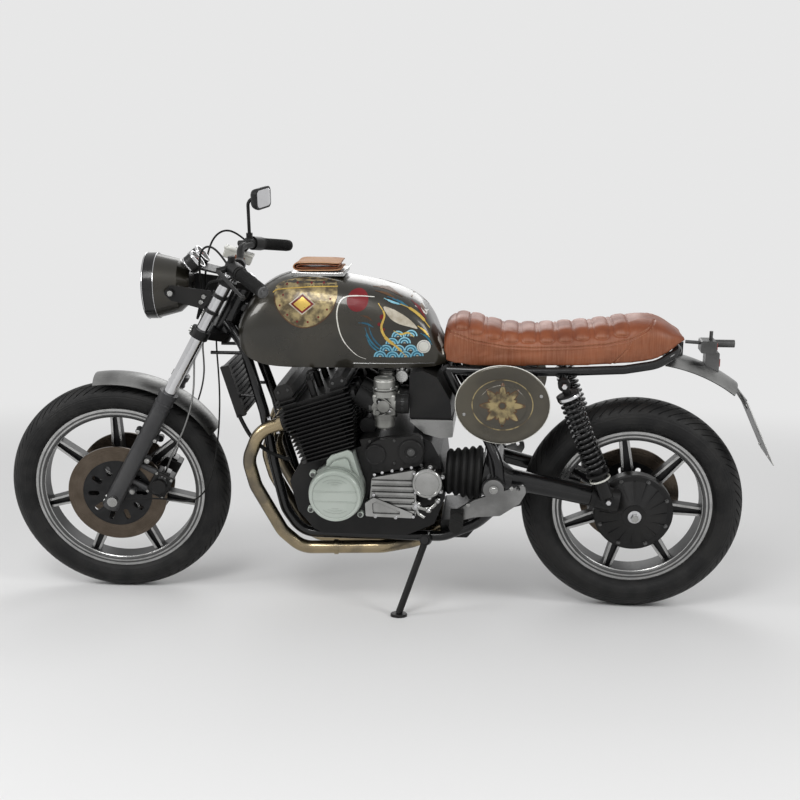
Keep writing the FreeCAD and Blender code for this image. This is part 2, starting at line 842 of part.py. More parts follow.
# Depth and outline of the mirror's shell from its glass to its back
mirror_shell_shares = [(0, 1.0), (0.35, 0.97), (0.75, 0.84), (1.0, 0.62)]


def mirror(nodes, boss_top, bowl):
    foot = Vector(boss_top.x, -boss_top.y, boss_top.z)
    head = foot + Vector(-mirror_back, -mirror_reach, mirror_rise)
    knee = Vector(foot.x, foot.y, head.z)
    stalk = tube([foot, knee, head + forward * mirror_depth / 3], mirror_stalk_radius, mirror_half_height)
    rings = []
    for depth_share, size_share in mirror_shell_shares:
        ring = rounded_ring(mirror_half_width * size_share, mirror_half_height * size_share,
                            mirror_corner * size_share)
        ring.Placement = Placement(forward * mirror_depth * depth_share, Rotation(left, up, forward))
        rings.append(ring)
    shell = Part.makeLoft(rings, True, False)
    shell.rotate(origin, up, -mirror_turn)
    shell.translate(head)
    nodes["mirror"] = fuse([stalk, shell])
    nodes["brake_reservoir"] = mirrored(bowl).cut([nodes["controls"], nodes["handlebar"]])


def gauges(nodes):
    back = Vector(-math.cos(math.radians(gauge_tilt)), 0, math.sin(math.radians(gauge_tilt)))
    dials = []
    for side in (1, -1):
        centre = Vector(lamp_forward - gauge_back, side * gauge_spacing, lamp_height + gauge_rise)
        dials.append(rod(centre - back * gauge_depth, centre, gauge_radius))
    top = in_fork(-fork_offset / 2, 0, upper_yoke_height + upper_yoke_thickness)
    base = dials[0].CenterOfMass
    back_face = Vector(base.x, 0, base.z) - back * gauge_depth / 2
    strip = [top, top + up * gauge_bracket_thickness, back_face + up * gauge_bracket_thickness,
             back_face - back * gauge_bracket_thickness]
    points = [Vector(point.x, -gauge_spacing, point.z) for point in strip]
    bracket = Part.Face(Part.makePolygon(points + points[:1])).extrude(left * gauge_spacing * 2)
    nodes["gauges"] = fuse(dials + [bracket]).cut([nodes["upper_yoke"], nodes["lower_yoke"], nodes["handlebar"]])


def curved_guard(crown_radius, edge_radius, half_width, start_angle, end_angle, centre):
    """Arched strip about an axle, from one angle back to another; angles rise rearwards from level ahead."""
    edges = []
    for wall in (0, fender_wall):
        low = Vector(edge_radius - wall, -half_width + wall, 0)
        high = Vector(edge_radius - wall, half_width - wall, 0)
        edges.append((low, Part.Arc(low, Vector(crown_radius - wall, 0, 0), high).toShape(), high))
    (low, outer, high), (inner_low, inner, inner_high) = edges
    face = Part.Face(Part.Wire([outer, Part.makeLine(high, inner_high), inner, Part.makeLine(inner_low, low)]))
    guard = face.revolve(origin, left, -(end_angle - start_angle))
    guard.rotate(origin, left, -start_angle)
    guard.translate(centre)
    return guard


def front_fender(nodes):
    guard = curved_guard(front_fender_radius, front_fender_edge_radius, front_fender_half_width,
                         front_fender_start, front_fender_end, front_axle)
    height = (front_fender_edge_radius + front_fender_radius) / 2
    inside = front_fender_half_width - fender_wall
    outside = fork_half_gap - slider_radius - seat_gap
    stays = []
    for side in (1, -1):
        corners = [(-fender_stay_width / 2, height - fender_stay_width * 1.6),
                   (fender_stay_width / 2, height - fender_stay_width * 1.6),
                   (fender_stay_width / 2, height - fender_stay_width * 0.3),
                   (-fender_stay_width / 2, height - fender_stay_width * 0.3)]
        points = [in_fork(x, side * inside, z) for x, z in corners]
        stays.append(plate(points, fender_wall * 3, left * side * (outside - inside)))
    nodes["front_fender"] = fuse([guard] + stays)


def front_calipers(nodes):
    bodies = []
    for side in (1, -1):
        plane = side * front_disc_offset
        low = Vector(-caliper_centre_back - caliper_width / 2, plane - caliper_depth - disc_gap,
                     caliper_centre_up - caliper_height / 2)
        body = Part.makeBox(caliper_width, 2 * (caliper_depth + disc_gap), caliper_height, low)
        body = body.makeFillet(caliper_depth / 4, body.Edges)
        piston_start = Vector(-caliper_centre_back, plane + side * (caliper_depth + disc_gap) / 2,
                              caliper_centre_up)
        piston = rod(piston_start, piston_start + left * side * ((caliper_depth + disc_gap) / 2
                                                                 + caliper_piston_depth), caliper_piston_radius)
        body = fuse([body, piston])
        body.Placement = fork_frame
        gap = rod(front_axle + left * (plane - disc_thickness / 2 - disc_gap),
                  front_axle + left * (plane + disc_thickness / 2 + disc_gap), disc_radius + disc_gap)
        bodies.append(body.cut(gap).cut(nodes["fork_sliders"]))
    nodes["front_calipers"] = Part.makeCompound(bodies)


# Frame, in shares of length, half width and height
cradle_shares = [(0.2330, 0.30, 0.790), (0.1955, 0.42, 0.600), (0.1780, 0.50, 0.450), (0.1560, 0.58, 0.315),
                 (0.1240, 0.62, 0.2467), (-0.1450, 0.62, 0.2467), (-0.2080, 0.64, 0.290),
                 (-0.2490, 0.90, 0.370), (-0.2510, 0.93, 0.430), (-0.2460, 0.90, 0.500), (-0.2150, 0.66, 0.590),
                 (-0.1770, 0.51, 0.660), (-0.1500, 0.475, 0.740)]
spine_shares = [(-0.0780, 0, 0.788), (-0.1400, 0, 0.741)]
seat_rail_shares = [(-0.1500, 0.475, 0.740), (-0.2500, 0.55, 0.740), (-0.3590, 0.55, 0.744),
                    (-0.4690, 0.55, 0.753), (-0.5270, 0.53, 0.768), (-0.5660, 0.40, 0.800),
                    (-0.5760, 0, 0.812)]
brace_shares = [[(-0.2230, 0.72, 0.575), (-0.2380, 0.90, 0.455)], [(-0.2900, 0.75, 0.590), (-0.2560, 0.92, 0.460)]]
pivot_shares = (-0.2395, 0.427)
cooler_arm_shares = (0.25, 0.90)


def cradle_path():
    """Left half of the cradle, from the steering head down, under the engine and up to the seat."""
    head = in_fork(-fork_offset, stem_radius, lower_yoke_height + yoke_thickness + head_tube_radius)
    return [head] + [spot(*share) for share in cradle_shares]


def spine_path():
    """Backbone from the steering head to the cross tube under the seat's nose."""
    head = in_fork(-fork_offset, 0, upper_yoke_height - head_tube_radius * 2)
    return [head] + [spot(*share) for share in spine_shares]


def cross_tube(radius):
    """Tube across the machine under the seat's nose."""
    rear = spot(*cradle_shares[-1])
    return rod(rear, Vector(rear.x, -rear.y, rear.z), radius)


def between(start, end, share):
    """Point on the way from one place to another."""
    return start + (end - start) * share


def main_frame(nodes):
    head, stem_bore = head_tube()
    cradle = cradle_path()
    spine = spine_path()
    side = [tube(cradle, cradle_radius, tube_bend)]
    pivot = spot(pivot_shares[0], 0, pivot_shares[1])
    boss_end = footrest_plane - footrest_thickness - seat_gap
    side.append(rod(pivot + left * pivot_boss_inner, pivot + left * boss_end, pivot_cap_radius + pivot_boss_wall))
    for share in cooler_arm_shares:
        root = between(cradle[2], cradle[1], share)
        side.append(rod(root, root + forward * cooler_half_width, cooler_arm_radius))
    for low, high in brace_shares:
        side.append(rod(spot(*low), spot(*high), brace_radius))
    shock_top = spot(shock_top_shares[0], 0, shock_top_shares[1])
    rail = left * body_half_width * seat_rail_shares[2][1]
    rail_height = up * (body_height * seat_rail_shares[2][2] - shock_top.z)
    side.append(rod(shock_top + rail + rail_height, shock_top + rail - up * shock_lug_radius, shock_lug_radius))
    side.append(rod(shock_top + rail - left * shock_lug_radius,
                    shock_top + left * (shock_offset - shock_eye_width / 2), shock_stud_radius))
    parts = [head, tube(spine, spine_radius, tube_bend), cross_tube(cradle_radius)]
    mount = between(spine[0], spine[1], 0.3)
    reach = spine_radius + tunnel_clearance - seat_gap
    parts.append(rod(mount - left * reach, mount + left * reach, tank_mount_radius))
    half = [spot(*share) for share in seat_rail_shares]
    right = [Vector(point.x, -point.y, point.z) for point in reversed(half[:-1])]
    parts.append(tube(half[:-1] + right, seat_rail_radius, tube_bend))
    hoop = half[-1]
    under_fender = rod(rear_axle - left * body_half_width, rear_axle + left * body_half_width,
                       rear_fender_radius - fender_wall)
    parts.append(rod(hoop, Vector(hoop.x, 0, rear_axle.z), fender_post_radius).cut(under_fender))
    parts += side + [mirrored(piece) for piece in side]
    return fuse(parts).cut(stem_bore)


# Engine

crankcase_shares = [(0.1200, 0.4720), (0.1400, 0.4200), (0.1260, 0.3300), (0.0970, 0.2760), (0.0800, 0.2620),
                    (-0.0780, 0.2620), (-0.1300, 0.3000), (-0.1500, 0.3800), (-0.1400, 0.5000),
                    (-0.1250, 0.5450), (-0.1050, 0.5600), (-0.0900, 0.5700), (-0.0200, 0.5560),
                    (0.0030, 0.5500)]
starter_motor_shares = (-0.0026, 0.571)


def crankcase(nodes):
    """Crankcase with the starter motor lying across its top behind the cylinders."""
    body = side_plate(crankcase_shares, -crankcase_half_width, crankcase_half_width, cover_fillet)
    deck = Part.makeBox(2 * deck_half_depth, 4 * crankcase_half_width, body_height,
                        Vector(-deck_half_depth, -2 * crankcase_half_width, 0))
    deck.Placement = engine_frame
    middle = spot(starter_motor_shares[0], 0, starter_motor_shares[1])
    reach = left * starter_motor_half_length
    motor = rod(middle - reach, middle + reach, starter_motor_radius)
    return fuse([body.cut(deck), motor])


def fin_reach(height):
    """How far the fins reach behind and ahead of the cylinders' middle at a height above the deck."""
    share = min(height / fin_spread_height, 1)
    rear = fin_rear_low + (fin_rear_high - fin_rear_low) * share
    front = fin_front_low + (fin_front_high - fin_front_low) * share
    return rear, front


def fin_plate(low, rear, front):
    """One cooling fin, scalloped between the cylinders."""
    fin = Part.makeBox(rear + front, 2 * fin_half_width, fin_thickness, Vector(-rear, -fin_half_width, low))
    notches = []
    for index in (-1, 0, 1):
        for edge in (-rear - fin_scallop_radius / 2, front + fin_scallop_radius / 2):
            place = Vector(edge, index * cylinder_pitch, low - fin_thickness)
            notches.append(Part.makeCylinder(fin_scallop_radius, 3 * fin_thickness, place))
    return fin.cut(notches)


def fin_stack(low, count):
    heights = [low + fin_pitch * (index + 0.5) for index in range(count)]
    return [fin_plate(height, *fin_reach(height)) for height in heights]


def cylinder_block(nodes):
    core_half_width = fin_half_width - fin_scallop_radius
    core = Part.makeBox(2 * barrel_half_depth, 2 * core_half_width, barrel_height,
                        Vector(-barrel_half_depth, -core_half_width, 0))
    block_shape = fuse([core] + fin_stack(0, barrel_fins))
    block_shape.Placement = engine_frame
    return block_shape


def cam_tower(start, end, height):
    """Raised side of the head under a cam cover, with fins along its outer wall."""
    low = barrel_height + head_height
    inner, outer = min(start, end), max(start, end)
    parts = [Part.makeBox(outer - inner, 2 * cam_box_half_width, height, Vector(inner, -cam_box_half_width, low))]
    for index in range(int(height // fin_pitch) or 1):
        place = Vector(inner - tower_fin_reach, -fin_half_width, low + fin_pitch * (index + 0.5) - fin_thickness)
        parts.append(Part.makeBox(outer - inner + 2 * tower_fin_reach, 2 * fin_half_width, fin_thickness, place))
    return parts


def cylinder_head(nodes):
    """Head with a low valley between two towers, ports ahead and behind and the plugs in the valley."""
    low = barrel_height
    core_half_width = fin_half_width - fin_scallop_radius
    parts = [Part.makeBox(head_front + head_rear, 2 * core_half_width, head_height,
                          Vector(-head_rear, -core_half_width, low))]
    parts += fin_stack(low, head_fins)
    parts += cam_tower(front_tower_start, front_tower_end, front_tower_height)
    parts += cam_tower(-rear_tower_start, -rear_tower_end, rear_tower_height)
    front_height = low + head_height * front_port_share
    rear_height = low + head_height * rear_port_share
    for index in (-1.5, -0.5, 0.5, 1.5):
        y = index * cylinder_pitch
        front = Vector(head_front - port_length, y, front_height)
        parts.append(rod(front, Vector(fin_reach(front_height)[1] + port_length, y, front_height), port_flange_radius))
        rear = Vector(port_length - head_rear, y, rear_height)
        parts.append(rod(rear, Vector(-fin_reach(rear_height)[0] - port_length, y, rear_height), port_flange_radius))
        parts.append(Part.makeCylinder(plug_radius, plug_height, Vector(-plug_back, y, low + head_height)))
    head = fuse(parts)
    head.Placement = engine_frame
    return head


def cam_box(start, end, low, height):
    """Long cover over one camshaft, its upper edges sloped."""
    inner, outer = min(start, end), max(start, end)
    slope = cover_fillet * 1.5
    outline = [(inner, low), (outer, low), (outer, low + height - slope), (outer - slope, low + height),
               (inner + slope, low + height), (inner, low + height - slope)]
    points = [Vector(x, -cam_box_half_width, z) for x, z in outline]
    box = plate(points, cover_fillet / 2, left * cam_box_half_width * 2)
    box.Placement = engine_frame
    return box


def cam_cover(nodes):
    low = barrel_height + head_height
    front = cam_box(front_cam_start, front_cam_start + cam_box_depth, low + front_tower_height, front_cam_height)
    rear = cam_box(-rear_cam_start, -rear_cam_start - cam_box_depth, low + rear_tower_height, rear_cam_height)
    return Part.makeCompound([front, rear])


generator_centre_shares = (0.0466, 0.407)
shoulder_shares = [(0.0700, 0.4000), (0.0640, 0.5000), (0.0560, 0.5150), (0.0250, 0.5320), (0.0170, 0.5250),
                   (0.0030, 0.4500), (0.0000, 0.4000)]
shoulder_step_shares = [(0.0640, 0.4000), (0.0580, 0.4880), (0.0500, 0.5010), (0.0290, 0.5110), (0.0240, 0.5040),
                        (0.0110, 0.4450), (0.0080, 0.4000)]
gear_shares = [(-0.0180, 0.4520), (-0.0990, 0.4790), (-0.0990, 0.3400), (-0.0260, 0.3360), (-0.0120, 0.3560)]
gear_brace_shares = [(-0.0060, 0.3790), (-0.0220, 0.3970), (-0.0930, 0.3520), (-0.0930, 0.3380), (-0.0070, 0.3400)]
gear_pocket_shares = [(-0.0190, 0.3790), (-0.0260, 0.3850), (-0.0700, 0.3570), (-0.0700, 0.3480), (-0.0200, 0.3490)]
gear_rib_start_shares = (-0.0960, 0.352)
gear_rib_end_share = -0.0180
gear_rib_step_share = 0.0175
middle_gear_shares = (-0.1197, 0.443)
starter_shares = [(-0.0110, 0.5200), (-0.0170, 0.5480), (-0.0300, 0.5560), (-0.1050, 0.5740), (-0.1130, 0.5400),
                  (-0.1090, 0.4900), (-0.0980, 0.4810), (-0.0200, 0.4560)]
starter_front_lobe_shares = (-0.0233, 0.513)
starter_rear_lobe_shares = (-0.0887, 0.524)
clutch_centre_shares = (-0.0420, 0.395)


def side_spot(shares, reach):
    """Place on a plane beside the machine's middle, from its shares of length and height."""
    return spot(shares[0], 0, shares[1]) + left * reach


def generator_cover():
    """Round cover with its cap and the stepped shoulder above it."""
    start = crankcase_half_width
    centre = side_spot(generator_centre_shares, start)
    depth = generator_depth - generator_cap_depth
    drum = rod(centre, centre + left * depth, generator_radius * generator_drum_share)
    cap = rod(centre + left * depth, centre + left * generator_depth, generator_radius)
    cap = cap.makeFillet(cover_fillet, [cap.Edges[0]])
    shoulder = side_plate(shoulder_shares, start, start + depth * shoulder_depth_share, cover_fillet)
    step = side_plate(shoulder_step_shares, start, start + depth * shoulder_step_share, cover_fillet)
    barrels = Part.makeBox(4 * fin_rear_high, 2 * (fin_half_width + seat_gap), body_height,
                           Vector(-2 * fin_rear_high, -fin_half_width - seat_gap, -seat_gap))
    barrels.Placement = engine_frame
    return fuse([drum, cap, shoulder, step]).cut(barrels)


def gear_cover():
    """Ribbed cover with its lower brace, and the round cover behind it."""
    start = crankcase_half_width
    face = start + gear_cover_depth
    body = side_plate(gear_shares, start, face, cover_fillet)
    ribs = []
    for index in range(gear_cover_ribs):
        height_share = gear_rib_start_shares[1] + index * gear_rib_step_share
        low = side_spot((gear_rib_start_shares[0], height_share), face)
        high = side_spot((gear_rib_end_share, height_share), face + gear_cover_rib_depth)
        ribs.append(block(low, high + up * gear_cover_rib_height))
    brace = side_plate(gear_brace_shares, start, face + gear_brace_depth, cover_fillet / 2)
    pocket = side_plate(gear_pocket_shares, face + gear_brace_depth - gear_pocket_depth,
                        face + gear_brace_depth + overrun, cover_fillet / 4)
    round_centre = side_spot(middle_gear_shares, start)
    drum = rod(round_centre, round_centre + left * middle_gear_depth, middle_gear_radius)
    drum = drum.makeFillet(cover_fillet, [drum.Edges[0]])
    return fuse([body, drum, brace] + ribs).cut(pocket)


def starter_cover(nodes):
    """Two-lobed cover above the gear cover."""
    start = crankcase_half_width
    face = start + starter_cover_depth
    parts = [side_plate(starter_shares, start, face, cover_fillet * 2)]
    for shares, radius in ((starter_front_lobe_shares, starter_front_lobe_radius),
                           (starter_rear_lobe_shares, starter_rear_lobe_radius)):
        parts.append(rod(side_spot(shares, start), side_spot(shares, face + starter_lobe_depth), radius))
    cover = fuse(parts).cut([nodes["gear_cover"], nodes["generator_cover"]])
    return max(cover.Solids, key=lambda piece: piece.Volume)


def covers(nodes):
    nodes["generator_cover"] = generator_cover()
    nodes["gear_cover"] = gear_cover()
    clutch_centre = side_spot(clutch_centre_shares, -crankcase_half_width)
    clutch = rod(clutch_centre, clutch_centre - left * clutch_depth, clutch_radius)
    clutch = clutch.makeFillet(cover_fillet, [clutch.Edges[0]])
    ignition_centre = side_spot(generator_centre_shares, -crankcase_half_width)
    ignition = rod(ignition_centre, ignition_centre - left * ignition_depth, ignition_radius)
    ignition = ignition.makeFillet(cover_fillet, [ignition.Edges[0]])
    nodes["crankcase_covers"] = Part.makeCompound([starter_cover(nodes), fuse([clutch, ignition])])


# Intake

carb_centre_shares = (-0.0390, 0.655)
airbox_shares = [(-0.0830, 0.7390), (-0.1080, 0.7450), (-0.1330, 0.7280), (-0.1580, 0.6600), (-0.1610, 0.6060),
                 (-0.0830, 0.6060)]
tray_shares = [(-0.0800, 0.6060), (-0.1630, 0.6060), (-0.1630, 0.5560), (-0.1400, 0.5520), (-0.1100, 0.5650)]


def intake(nodes):
    centre = spot(carb_centre_shares[0], 0, carb_centre_shares[1])
    bodies = []
    rubbers = []
    box_face = spot(airbox_shares[0][0], 0, 0).x
    for index in (-1.5, -0.5, 0.5, 1.5):
        middle = centre + left * index * cylinder_pitch
        corner = middle - Vector(carb_body_length / 2, carb_body_width / 2, carb_body_height / 2)
        body = Part.makeBox(carb_body_length, carb_body_width, carb_body_height, corner)
        body = body.makeFillet(cover_fillet, body.Edges)
        roof = middle + up * carb_body_height / 2
        floor = middle - up * carb_body_height / 2
        flange = up * carb_flange_height
        dome_flange = rod(roof - flange, roof + flange, carb_flange_radius)
        dome = rod(roof, roof + up * carb_dome_height, carb_dome_radius)
        dome = dome.makeFillet(cover_fillet, [dome.Edges[0]])
        bowl_flange = rod(floor + flange, floor - flange, carb_flange_radius - fin_thickness)
        bowl = rod(floor, floor - up * carb_bowl_height, carb_bowl_radius)
        bowl = bowl.makeFillet(cover_fillet, [bowl.Edges[0]])
        drain = rod(floor - up * carb_bowl_height, floor - up * carb_bowl_height - flange, carb_drain_radius)
        mouth = forward * (carb_body_length / 2 + carb_flange_height)
        throat = rod(middle - mouth, middle + mouth, carb_throat_radius)
        disc_reach = left * (carb_body_width / 2 + carb_flange_height)
        disc = rod(middle - disc_reach, middle + disc_reach, carb_disc_radius)
        bodies.append(fuse([body, dome_flange, dome, bowl_flange, bowl, drain, throat, disc]))
        rear_height = barrel_height + head_height * rear_port_share
        port = engine_frame.multVec(Vector(-fin_reach(rear_height)[0] - port_length, index * cylinder_pitch,
                                           rear_height))
        rubbers.append(rod(port, middle + forward * carb_body_length / 2, rubber_radius))
        rubbers.append(rod(middle - forward * carb_body_length / 2,
                           Vector(box_face, middle.y, middle.z), rubber_radius))
    bar_end = left * 1.5 * cylinder_pitch
    bar_place = centre - forward * carb_body_length / 2
    bar = rod(bar_place - bar_end, bar_place + bar_end, carb_bar_radius)
    nodes["carburettors"] = fuse(bodies + [bar])
    cutters = [nodes["carburettors"], nodes["cylinder_head"]]
    nodes["intake_rubbers"] = Part.makeCompound([rubber.cut(cutters) for rubber in rubbers])
    relief = tube(cradle_path(), cradle_radius + seat_gap, tube_bend)
    spine = tube(spine_path(), spine_radius + seat_gap, tube_bend)
    reliefs = [relief, mirrored(relief), spine, cross_tube(cradle_radius + seat_gap)]
    box = side_plate(airbox_shares, -airbox_half_width, airbox_half_width, cover_fillet)
    nodes["airbox"] = box.cut(reliefs)
    tray = side_plate(tray_shares, -tray_half_width, tray_half_width, cover_fillet / 2)
    nodes["airbox_tray"] = tray.cut(reliefs)


# Exhaust, outer and inner pipe, in shares of length, half width and height
outer_header_shares = [(0.1400, 0.80, 0.6010), (0.1950, 0.80, 0.5650), (0.2180, 0.80, 0.4780),
                       (0.2060, 0.79, 0.4000), (0.1580, 0.77, 0.2600), (0.1220, 0.74, 0.2080),
                       (-0.0300, 0.62, 0.2080), (-0.0900, 0.40, 0.2110), (-0.1180, 0.385, 0.2350),
                       (-0.1400, 0.38, 0.2620)]
inner_header_shares = [(0.1400, 0.2675, 0.6010), (0.1800, 0.27, 0.5550), (0.1960, 0.28, 0.4700),
                       (0.1830, 0.30, 0.4000), (0.1360, 0.30, 0.2650), (0.1030, 0.28, 0.2100),
                       (-0.0400, 0.24, 0.2100), (-0.0900, 0.20, 0.2120), (-0.1180, 0.16, 0.2360),
                       (-0.1400, 0.15, 0.2620)]
header_band_share = 0.4
collector_shares = [(-0.1400, 0.2360), (-0.1400, 0.2900), (-0.1900, 0.2960), (-0.2050, 0.2650), (-0.1900, 0.2360)]
silencer_shares = [(-0.1850, -0.45, 0.2500), (-0.2150, -0.62, 0.2480), (-0.2400, -0.76, 0.2620),
                   (-0.3500, -0.95, 0.2950)]


def silencer_line():
    """Last turn of the silencer's pipe and the end of the can, which the outlet sits on."""
    return spot(*silencer_shares[-2]), spot(*silencer_shares[-1])


def exhaust(nodes):
    pipes = []
    port_height = barrel_height + head_height * front_port_share
    port = engine_frame.multVec(Vector(fin_reach(port_height)[1] + port_length, 0, port_height))
    aim = engine_frame.Rotation.multVec(forward)
    for shares in (outer_header_shares, inner_header_shares):
        route = [spot(*share) for share in shares]
        route[0] = Vector(port.x, route[0].y, port.z)
        pipe = tube(route, header_radius, header_bend)
        clamp = rod(route[0], route[0] + aim * header_clamp_length, header_clamp_radius)
        bottom = between(route[5], route[6], header_band_share)
        band = rod(bottom, bottom + (route[6] - route[5]).normalize() * header_clamp_length, header_clamp_radius)
        pipes.append(fuse([pipe, clamp, band]))
    headers = pipes + [mirrored(pipe) for pipe in pipes]
    collector = side_plate(collector_shares, -collector_half_width, collector_half_width, cover_fillet)
    nodes["exhaust_headers"] = Part.makeCompound([pipe.cut([collector, nodes["cylinder_head"]]) for pipe in headers])
    turn, mouth = silencer_line()
    direction = (mouth - turn).normalize()
    can_start = turn + direction * header_radius
    stub = tube([spot(*share) for share in silencer_shares[:-1]] + [can_start], header_radius, header_bend)
    can = rod(can_start, mouth, silencer_radius)
    can = can.makeFillet(cover_fillet * 2, [edge for edge in can.Edges if edge.Closed][:2])
    tail = rod(mouth - direction * silencer_radius / 2, mouth + direction * silencer_outlet_length / 2,
               silencer_outlet_radius + fender_wall)
    bore = rod(mouth - direction * silencer_outlet_length / 2, mouth + direction * silencer_outlet_length,
               silencer_outlet_radius)
    nodes["silencer"] = fuse([collector, stub, can, tail]).cut(bore)


def oil_cooler(nodes):
    low = spot(0.2370, 0, 0.5900)
    high = spot(0.2655, 0, 0.7400)
    line = high - low
    height = line.Length
    tilt = math.degrees(math.atan2(line.x, line.z))
    parts = []
    for side in (1, -1):
        inner = side * (cooler_half_width - cooler_tank_width)
        outer = side * cooler_half_width
        parts.append(block(Vector(-cooler_thickness / 2, min(inner, outer), 0),
                           Vector(cooler_thickness / 2, max(inner, outer), height)))
    pitch = height / cooler_rows
    for index in range(cooler_rows):
        z = pitch * (index + 0.5) - cooler_row_height / 2
        parts.append(block(Vector(-cooler_thickness / 2, -cooler_half_width, z),
                           Vector(cooler_thickness / 2, cooler_half_width, z + cooler_row_height)))
    core = block(Vector(-cooler_thickness / 4, -cooler_half_width, 0),
                 Vector(cooler_thickness / 4, cooler_half_width, height))
    cooler = fuse(parts + [core])
    cooler.Placement = Placement(low, Rotation(left, tilt))
    return cooler


# Bodywork: shares of length, then bottom and top in shares of height, then half width

tank_stations = [(-0.1495, 0.757, 0.800, 0.50), (-0.1340, 0.754, 0.828, 0.58), (-0.1190, 0.751, 0.884, 0.63),
                 (-0.0945, 0.749, 0.928, 0.67), (-0.0570, 0.748, 0.959, 0.71), (0.0084, 0.748, 0.984, 0.74),
                 (0.0776, 0.748, 1.001, 0.76), (0.1500, 0.748, 0.998, 0.75), (0.1900, 0.754, 0.972, 0.71),
                 (0.2180, 0.770, 0.930, 0.64), (0.2360, 0.795, 0.885, 0.52)]
seat_stations = [(-0.1420, 0.770, 0.838, 0.50), (-0.1560, 0.762, 0.876, 0.56), (-0.1850, 0.756, 0.878, 0.59),
                 (-0.2480, 0.754, 0.852, 0.60), (-0.3230, 0.757, 0.849, 0.60), (-0.3870, 0.759, 0.857, 0.60),
                 (-0.4680, 0.768, 0.874, 0.60), (-0.5270, 0.783, 0.882, 0.57), (-0.5520, 0.803, 0.864, 0.50),
                 (-0.5790, 0.826, 0.836, 0.36)]


def arched_section(station, squareness, tuck):
    """Closed outline across the machine: a flat bottom and one smooth arch over it."""
    x, bottom, top, half_width = station
    points = []
    steps = 12
    for index in range(steps + 1):
        angle = math.pi * index / steps
        across = math.cos(angle)
        rise = max(math.sin(angle), 0)
        height = rise ** squareness
        width = math.copysign(abs(across) ** squareness, across)
        narrowing = 1 - tuck * (1 - height) ** 2
        points.append(spot(x, half_width * width * narrowing, bottom + (top - bottom) * height))
    arch = Part.BSplineCurve()
    arch.interpolate(points)
    return Part.Wire([arch.toShape(), Part.makeLine(points[-1], points[0])])


def tank_body():
    """Outer form of the tank, before its tunnel is cut."""
    sections = [arched_section(station, tank_squareness, tank_tuck) for station in tank_stations]
    return Part.makeLoft(sections, True, False)


def fuel_tank(nodes, body):
    half = spine_radius + tunnel_clearance
    spine = spine_path()
    front = spine[0] + forward * overrun
    rear = spine[-1] - forward * overrun
    floor_height = spine[-1].z - 3 * half
    roof = [front + up * half] + [point + up * half for point in spine] + [rear + up * half]
    outline = roof + [Vector(rear.x, 0, floor_height), Vector(front.x, 0, floor_height)]
    points = [point - left * half for point in outline]
    tunnel = Part.Face(Part.makePolygon(points + points[:1])).extrude(left * 2 * half)
    notch = rod(in_fork(-fork_offset, 0, 0), in_fork(-fork_offset, 0, body_height),
                head_tube_radius + 2 * tunnel_clearance)
    relief = tube(cradle_path(), cradle_radius + tunnel_clearance, tube_bend)
    nodes["fuel_tank"] = body.cut([tunnel, notch, relief, mirrored(relief)])


def tank_fittings(nodes):
    """Fuel tap, filler cap and the bright tray with the rolled leather tool case on it."""
    tank = nodes["fuel_tank"]
    tap_middle = spot(-0.0672, 0.45, 0.721)
    tank_bottom = spot(*tank_stations[5][:1], 0, tank_stations[5][1])
    tap = fuse([rod(tap_middle - left * tap_radius * 1.6, tap_middle + left * tap_radius * 1.6, tap_radius * 1.5),
                rod(tap_middle, tap_middle + up * (tank_bottom.z - tap_middle.z - seat_gap), tap_radius)])
    roll_spot = spot(0.0905, 0, 1.003)
    tray_low = roll_spot - forward * roll_length / 2 - left * roll_half_width
    tray = Part.makeBox(roll_length, 2 * roll_half_width, roll_tray_thickness * 4,
                        tray_low - up * roll_tray_thickness * 2)
    nodes["tank_fittings"] = Part.makeCompound([tap, tray.cut(tank)])
    top = roll_spot.z + roll_tray_thickness * 2 + seat_gap
    roll = Part.makeBox(roll_length * 0.94, 2 * roll_half_width * 0.94, roll_height,
                        Vector(roll_spot.x - roll_length * 0.47, -roll_half_width * 0.94, top))
    nodes["leather_roll"] = roll.makeFillet(roll_height * 0.4, roll.Edges)


def seat(body):
    """Cushion butted against the tank and resting on the rails."""
    sections = [arched_section(station, seat_squareness, 0.08) for station in seat_stations]
    cushion = Part.makeLoft(sections, True, False)
    clear = body.copy()
    clear.translate(forward * -seat_gap)
    half = [spot(*share) for share in seat_rail_shares]
    right = [Vector(point.x, -point.y, point.z) for point in reversed(half[:-1])]
    rails = tube(half[:-1] + right, seat_rail_radius + seat_gap, tube_bend)
    pieces = cushion.cut([clear, rails]).Solids
    return max(pieces, key=lambda piece: piece.Volume)


# Rings of the oval covers: shares of the wall, of the bulge and of the outline
side_cover_centre_shares = (-0.2525, 0, 0.662)
side_cover_shares = [(0, 0, 1), (1, 0, 1), (1, 0.6, 0.86), (1, 1, 0.5)]


def side_covers(nodes):
    centre = spot(*side_cover_centre_shares)
    rings = []
    for thick_share, bulge_share, outline_share in side_cover_shares:
        place = centre + left * (side_cover_offset + side_cover_thickness * thick_share + side_cover_bulge * bulge_share)
        ring = oval(side_cover_half_length * outline_share, side_cover_half_height * outline_share)
        ring.Placement = Placement(place, Rotation(forward, 90))
        rings.append(ring)
    cover = Part.makeLoft(rings, True, False)
    return both_sides(cover)


def battery_box():
    reach = left * (side_cover_offset - seat_gap)
    rail_bottom = body_height * seat_rail_shares[0][2] - seat_rail_radius - seat_gap
    low = spot(-0.3150, 0, 0.600) - reach
    high = spot(-0.2280, 0, 0) + reach + up * rail_bottom
    relief = tube(cradle_path(), cradle_radius + seat_gap, tube_bend)
    return block(low, high).cut([relief, mirrored(relief)])


# Tail

plate_top_shares = (-0.6906, 0.668)
plate_bottom_shares = (-0.7489, 0.476)


